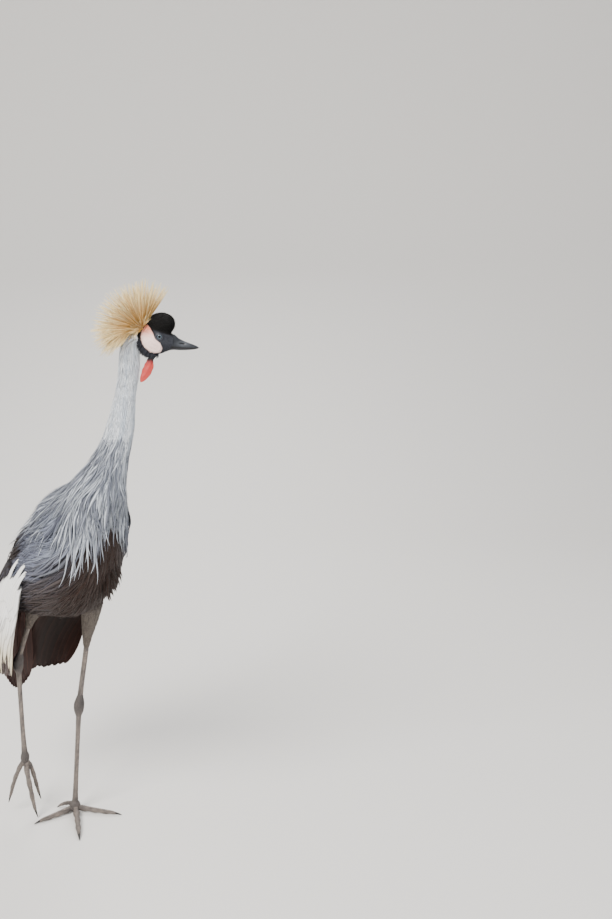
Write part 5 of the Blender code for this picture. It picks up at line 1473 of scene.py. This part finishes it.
def makeBill():
    table = smoothRows(bill["rows"], 70)
    halves = {"billUpper": [], "billLower": []}
    for forward, ridge, wide, keel, lowWide in table:
        gape = bill["gape"] - 0.0012 * (forward - 0.0222) / 0.0433
        for name, edge, half, start in (("billUpper", ridge, wide, gape + 0.00022), ("billLower", keel, lowWide, gape - 0.00022)):
            if name == "billLower" and forward > 0.0636:
                continue
            angle = math.pi * np.arange(33) / 32
            across, up = -half * np.cos(angle), start + (edge - start) * np.sin(angle) ** 0.85
            if name == "billUpper":
                x, z, long, tall = bill["nostril"]
                pit = np.exp(-(((forward - x) / long) ** 4) - ((up - z + (forward - x) * 0.12) / tall) ** 4)
                groove = np.exp(-(((up - z) / 0.0022) ** 2)) * ease(0.022, 0.027, forward) * (1 - ease(0.040, 0.052, forward))
                across = across * (1 - 0.40 * pit - 0.10 * groove)
            inside = np.linspace(half, -half, 9)[1:-1]
            roof = np.full(7, start)
            halves[name].append(headPlace(np.full(40, forward), np.concatenate([across, inside]), np.concatenate([up, roof])))
    for name, rings in halves.items():
        piece = outwardMesh(name, [closedRings(np.array(rings))], finishes["horn"])
        points = meshPoints(piece)
        forward, left, up = headLocal(points)
        # A painted highlight on the upper mandible around the nostril, over a slight lightening of the bill's own tone
        pale = np.exp(-(((forward - 0.040) / 0.011) ** 2) - ((up + 0.0125) / 0.0045) ** 2) * (name == "billUpper")
        tint = blend(colours["billDark"], colours["billToneAndHighlight"], np.clip(0.08 + 0.60 * pale + 0.08 * waves(points, 0.01, 95), 0, 1))
        gape = bill["gape"] - 0.0012 * (forward - 0.0222) / 0.0433
        # Painted shade in the gape between the mandibles
        tint = blend(tint, tint * 0.10, ease(0.0014, 0.0005, np.abs(up - gape)))
        tint = tint * (0.80 + 0.20 * ease(0.020, 0.034, forward))[:, None]
        # Painted shade inside the nostril
        x, z, long, tall = bill["nostril"]
        pit = np.exp(-(((forward - x) / long) ** 4) - ((up - z + (forward - x) * 0.12) / (tall * 0.8)) ** 4)
        tint = blend(tint, tint * 0.12, np.clip(pit * 1.3, 0, 1) * (name == "billUpper"))
        addTint(piece.data, tint)
        declare(piece, "bill", "bill_upper" if name == "billUpper" else "bill_lower")


def makeWattle():
    path = smoothPath(headPlace(*np.array([(-0.0140, 0, -0.0240), (-0.0158, 0, -0.0350), (-0.0190, 0, -0.0510), (-0.0260, 0, -0.0680), (-0.0325, 0, -0.0788)]).T), 60)
    share = np.linspace(0, 1, 60)
    wide = np.interp(share, [0, 0.25, 0.6, 0.85, 1], [0.0026, 0.0022, 0.0030, 0.0024, 0.0006])
    tall = np.interp(share, [0, 0.24, 0.42, 0.60, 0.80, 0.94, 1], [0.0040, 0.0040, 0.0072, 0.0080, 0.0062, 0.0034, 0.0008])
    sides = tuple(headPlace(0, 1, 0) - headPlace(0, 0, 0))
    rings = tubeRings(path, np.column_stack([tall, wide]), 48, up=sides)
    angle = 2 * math.pi * (np.arange(48) + 0.5) / 48
    centre = rings.mean(axis=1, keepdims=True)
    fold = 1 + 0.10 * np.sin(angle * 5 + 4 * share[:, None]) * ease(0.1, 0.4, share)[:, None] + 0.05 * np.sin(30 * share[:, None] + 2 * angle)
    rings = centre + (rings - centre) * fold[..., None]
    piece = outwardMesh("wattleLobe", [closedRings(rings)], finishes["wattleSkin"])
    points = meshPoints(piece)
    up = headLocal(points)[2]
    tint = blend(colours["wattleRed"], colours["wattleDark"], ease(-0.050, -0.041, up + 0.002 * waves(points, 0.006, 96)))
    tint = blend(tint, colours["velvetBlack"], ease(-0.044, -0.039, up))
    addTint(piece.data, tint * (1 + 0.12 * waves(points, 0.005, 97))[:, None])
    declare(piece, "wattle_skin", "wattle")


eyes = {"side": 0.0102, "radius": 0.0072, "pupil": 0.0024, "iris": 0.0036}


def makeEyes():
    for name, node, side in (("eyeLeft", "eye_left", 1), ("eyeRight", "eye_right", -1)):
        rings = []
        for polar in np.linspace(0.02, math.pi - 0.02, 64):
            angle = 2 * math.pi * np.arange(48) / 48
            out = math.cos(polar) * eyes["radius"]
            ring = math.sin(polar) * eyes["radius"]
            rings.append(headPlace(ring * np.cos(angle), side * (eyes["side"] + out), ring * np.sin(angle)))
        piece = outwardMesh(name, [closedRings(np.array(rings))], finishes["eyeball"])
        points = meshPoints(piece)
        forward, left, up = headLocal(points)
        away = np.hypot(forward, up)
        rays = 0.5 + 0.5 * np.sin(np.arctan2(up, forward) * 38 + 3 * np.sin(away * 4000))
        iris = blend(srgb(84, 98, 108), srgb(128, 142, 150), rays)
        iris = blend(iris, srgb(62, 72, 82), ease(0.0026, 0.0034, away))
        tint = blend(iris, srgb(8, 8, 10), ease(eyes["pupil"] + 0.0002, eyes["pupil"] - 0.0002, away))
        tint = blend(tint, srgb(26, 25, 27), ease(eyes["iris"], eyes["iris"] + 0.0004, away))
        outer = (np.abs(left) > eyes["side"])[:, None]
        addTint(piece.data, np.where(outer, tint, srgb(30, 28, 30)))
        declare(piece, "eye", node)


makeBill()
makeWattle()
makeEyes()
print("bill, wattle and eyes made")


# ---- claws and scutes
def makeClaws():
    parts = []
    for side in legPaths.values():
        for path, radii in side["toes"]:
            line = smoothPath(path, 60)[int(60 * (1 - legSizes["clawShare"])) - 4 :]
            share = np.linspace(0, 1, len(line))
            start = sampledRadii(radii, 60)[int(60 * (1 - legSizes["clawShare"])) - 4]
            sizes = start * 0.80 * (1 - share) ** 0.75 + 0.00025
            line[:, 2] = np.maximum(line[:, 2], sizes + 0.0001)
            parts.append(closedRings(tubeRings(line, np.column_stack([sizes, sizes * 1.1]), 20)))
    piece = outwardMesh("claws", parts, finishes["claw"])
    points = meshPoints(piece)
    points[:, 2] = np.maximum(points[:, 2], 0.0001)
    movePoints(piece, points)
    addTint(piece.data, np.tile(colours["clawBlack"], (len(points), 1)))
    declare(piece, "leg_scales")


def plateTree():
    tree = bpy.data.node_groups.new("plateRows", "GeometryNodeTree")
    tree.interface.new_socket("Geometry", in_out="INPUT", socket_type="NodeSocketGeometry")
    detail = tree.interface.new_socket("Detail", in_out="INPUT", socket_type="NodeSocketInt")
    detail.default_value = 12
    finish = tree.interface.new_socket("Finish", in_out="INPUT", socket_type="NodeSocketMaterial")
    tree.interface.new_socket("Geometry", in_out="OUTPUT", socket_type="NodeSocketGeometry")
    given, out = tree.nodes.new("NodeGroupInput"), tree.nodes.new("NodeGroupOutput")
    plate = tree.nodes.new("GeometryNodeMeshUVSphere")
    plate.inputs["Radius"].default_value = 1.0
    plate.inputs["Rings"].default_value = 8
    tree.links.new(given.outputs["Detail"], plate.inputs["Segments"])
    turn, size = tree.nodes.new("GeometryNodeInputNamedAttribute"), tree.nodes.new("GeometryNodeInputNamedAttribute")
    for node, title in ((turn, "turn"), (size, "size")):
        node.data_type = "FLOAT_VECTOR"
        node.inputs["Name"].default_value = title
    placed = tree.nodes.new("GeometryNodeInstanceOnPoints")
    tree.links.new(given.outputs["Geometry"], placed.inputs["Points"])
    tree.links.new(plate.outputs["Mesh"], placed.inputs["Instance"])
    tree.links.new(turn.outputs["Attribute"], placed.inputs["Rotation"])
    tree.links.new(size.outputs["Attribute"], placed.inputs["Scale"])
    real = tree.nodes.new("GeometryNodeRealizeInstances")
    smooth = tree.nodes.new("GeometryNodeSetShadeSmooth")
    painted = tree.nodes.new("GeometryNodeSetMaterial")
    tree.links.new(placed.outputs["Instances"], real.inputs["Geometry"])
    tree.links.new(real.outputs["Geometry"], smooth.inputs["Geometry"])
    tree.links.new(smooth.outputs["Geometry"], painted.inputs["Geometry"])
    tree.links.new(given.outputs["Finish"], painted.inputs["Material"])
    tree.links.new(painted.outputs["Geometry"], out.inputs["Geometry"])
    return tree, detail.identifier, finish.identifier


def plateRows(line, radii, out, count, first, last, aside, shape):
    line = np.asarray(line)
    tangents = unit(np.gradient(line, axis=0))
    spots = np.linspace(first, last, count) * (len(line) - 1)
    at = np.stack([np.interp(spots, np.arange(len(line)), column) for column in line.T], -1)
    along = unit(np.stack([np.interp(spots, np.arange(len(line)), column) for column in tangents.T], -1))
    radius = np.interp(spots, np.arange(len(line)), radii)
    normal = unit(out - along * (along @ out)[:, None])
    side = np.cross(along, normal)
    normal = normal * math.cos(aside) + side * math.sin(aside)
    side = np.cross(along, normal)
    pitch = np.linalg.norm(np.diff(at, axis=0), axis=1).mean()
    turns = [Matrix((tuple(x), tuple(y), tuple(z))).transposed().to_euler() for x, y, z in zip(side, along, normal)]
    wide, tall, thick = shape
    sizes = np.column_stack([radius * wide, np.full(count, pitch * tall), radius * thick])
    return at + normal * (radius - sizes[:, 2] * 0.35)[:, None], np.array([tuple(turn) for turn in turns]), sizes


def makeScutes():
    rows = []
    for title, side in legPaths.items():
        shank = smoothPath(side["leg"], 80)
        radii = sampledRadii((0.0060, 0.0048, 0.0044, 0.0042, 0.0042, 0.0042, 0.0043, 0.0048, 0.0056), 80)
        for direction, aside, count in ((1, -0.35, 34), (1, 0.35, 34), (-1, -0.4, 30), (-1, 0.4, 30)):
            rows.append(plateRows(shank, radii, np.array([direction * 1.0, 0.0, 0.0]), count, 0.10, 0.90, aside, (0.46, 0.62, 0.13)))
        shin = smoothPath(side["shin"], 80)
        for aside in (-0.3, 0.3):
            rows.append(plateRows(shin, np.full(80, 0.0048), np.array([1.0, 0.0, 0.0]), 18, 0.16, 0.72, aside, (0.44, 0.60, 0.12)))
        for path, radii in side["toes"]:
            line = smoothPath(path, 80)
            sizes = sampledRadii(radii, 80)
            up = np.array([0.0, 0.0, 1.0]) if title == "left" else np.array([1.0, 0.0, 0.25])
            rows.append(plateRows(line, sizes, up, legSizes["toeScutes"], 0.10, 0.80, 0.0, (0.72, 0.62, 0.16)))
    places, turns, sizes = (np.concatenate(group) for group in zip(*rows))
    mesh = bpy.data.meshes.new("scutes")
    mesh.from_pydata([tuple(place) for place in places], [], [])
    for title, values in (("turn", turns), ("size", sizes)):
        layer = mesh.attributes.new(title, "FLOAT_VECTOR", "POINT")
        layer.data.foreach_set("vector", values.astype(np.float32).ravel())
    piece = bpy.data.objects.new("scutes", mesh)
    bpy.context.scene.collection.objects.link(piece)
    tree, detail, finish = plateTree()
    change = piece.modifiers.new("plates", "NODES")
    change.node_group = tree
    change[detail] = 10
    change[finish] = finishes["legScales"]
    plainMesh(piece)
    points = meshPoints(piece)
    points[:, 2] = np.maximum(points[:, 2], 0.0003)
    movePoints(piece, points)
    shade = 0.5 + 0.5 * waves(points, 0.02, 98)
    addTint(piece.data, blend(colours["legGrey"], colours["legPale"], np.clip(shade, 0, 1)))
    declare(piece, "leg_scales")


makeClaws()
makeScutes()
print("claws and scutes made")


# ---- the drawn bird's box and the solid one's, side by side
def visualBox():
    low, high = np.full(3, 1e9), np.full(3, -1e9)
    for obj in bpy.data.objects:
        if obj.type == "MESH" and obj.get("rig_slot") and not obj.hide_render:
            points = meshPoints(obj)
            low, high = np.minimum(low, points.min(axis=0)), np.maximum(high, points.max(axis=0))
    return [low.tolist(), high.tolist()]


{"cad": [list(corner) for corner in cadBox], "visual": visualBox()}


# ---- floor, light and camera
stage = {
    "floor": srgb(222, 219, 214), "wall": srgb(228, 226, 222), "world": 0.80, "floorSize": 40.0,
    "cameraAt": (1.6885, -1.0879, 1.15), "pitch": math.radians(8.9), "roll": math.radians(-1.38),
    "look": math.radians(45), "lens": 1100 / 919 * 36, "shiftUp": -0.0822,
}


def makeStage():
    floorMaterial = bpy.data.materials.new("studioFloor")
    floorMaterial.use_nodes = True
    shader = floorMaterial.node_tree.nodes["Principled BSDF"]
    shader.inputs["Base Color"].default_value = (*stage["floor"], 1.0)
    shader.inputs["Roughness"].default_value = 0.9
    c, s = math.cos(stage["look"]), math.sin(stage["look"])
    ahead = np.array([-s, c, 0.0])
    right = np.array([c, s, 0.0])
    rings = []
    for forward, up in [(-stage["floorSize"], 0.0), (1.9, 0.0)] + [(1.9 + 1.4 * math.sin(a), 1.4 - 1.4 * math.cos(a)) for a in np.linspace(0.1, math.pi / 2, 16)] + [(3.3, 5.5)]:
        rings.append([ahead * forward + right * aside + np.array([0, 0, up]) for aside in (-stage["floorSize"], stage["floorSize"])])
    rings = np.array(rings)
    faces = ringFaces(len(rings), 2, closed=False)[:, ::-1]
    floor = newMesh("studioFloor", rings.reshape(-1, 3), faces, floorMaterial)
    for name, place, target, size, power, tone in (
        ("key", (0.6, -2.3, 2.6), (0.0, -0.05, 0.55), 1.7, 185, (1.0, 0.97, 0.93)),
        ("fill", (2.6, 0.9, 1.4), (0.0, -0.05, 0.5), 2.4, 40, (0.93, 0.96, 1.0)),
        ("rim", (-1.7, 1.5, 2.2), (0.0, -0.05, 0.6), 1.4, 55, (1.0, 1.0, 1.0)),
    ):
        lamp = bpy.data.lights.new(name, "AREA")
        lamp.shape = "DISK"
        lamp.size, lamp.energy, lamp.color = size, power, tone
        holder = bpy.data.objects.new(name, lamp)
        holder.location = place
        holder.visible_camera = False
        holder.visible_glossy = name != "fill"
        holder.rotation_euler = (Vector(place) - Vector(target)).to_track_quat("Z", "Y").to_euler()
        bpy.context.scene.collection.objects.link(holder)
    world = bpy.data.worlds.new("studio")
    world.use_nodes = True
    world.node_tree.nodes["Background"].inputs["Color"].default_value = (0.93, 0.95, 1.0, 1.0)
    world.node_tree.nodes["Background"].inputs["Strength"].default_value = stage["world"]
    bpy.context.scene.world = world


def makeCamera():
    c, s = math.cos(stage["look"]), math.sin(stage["look"])

    def turned(x, y, z):
        return Vector((c * x - s * y, s * x + c * y, z))

    right, up = Vector((1, 0, 0)), Vector((0, math.sin(stage["pitch"]), math.cos(stage["pitch"])))
    forward = turned(0, math.cos(stage["pitch"]), -math.sin(stage["pitch"]))
    cosine, sine = math.cos(stage["roll"]), math.sin(stage["roll"])
    level = turned(*(right * cosine - up * sine))
    upright = turned(*(up * cosine + right * sine))
    lens = bpy.data.cameras.new("photoView")
    lens.sensor_width, lens.sensor_fit, lens.lens = 36, "AUTO", stage["lens"]
    lens.shift_x, lens.shift_y = 0.0, stage["shiftUp"]
    camera = bpy.data.objects.new("photoView", lens)
    pose = Matrix((level, upright, -forward)).transposed().to_4x4()
    pose.translation = Vector(stage["cameraAt"])
    camera.matrix_world = pose
    bpy.context.scene.collection.objects.link(camera)
    bpy.context.scene.camera = camera


makeStage()
makeCamera()
print("stage set")
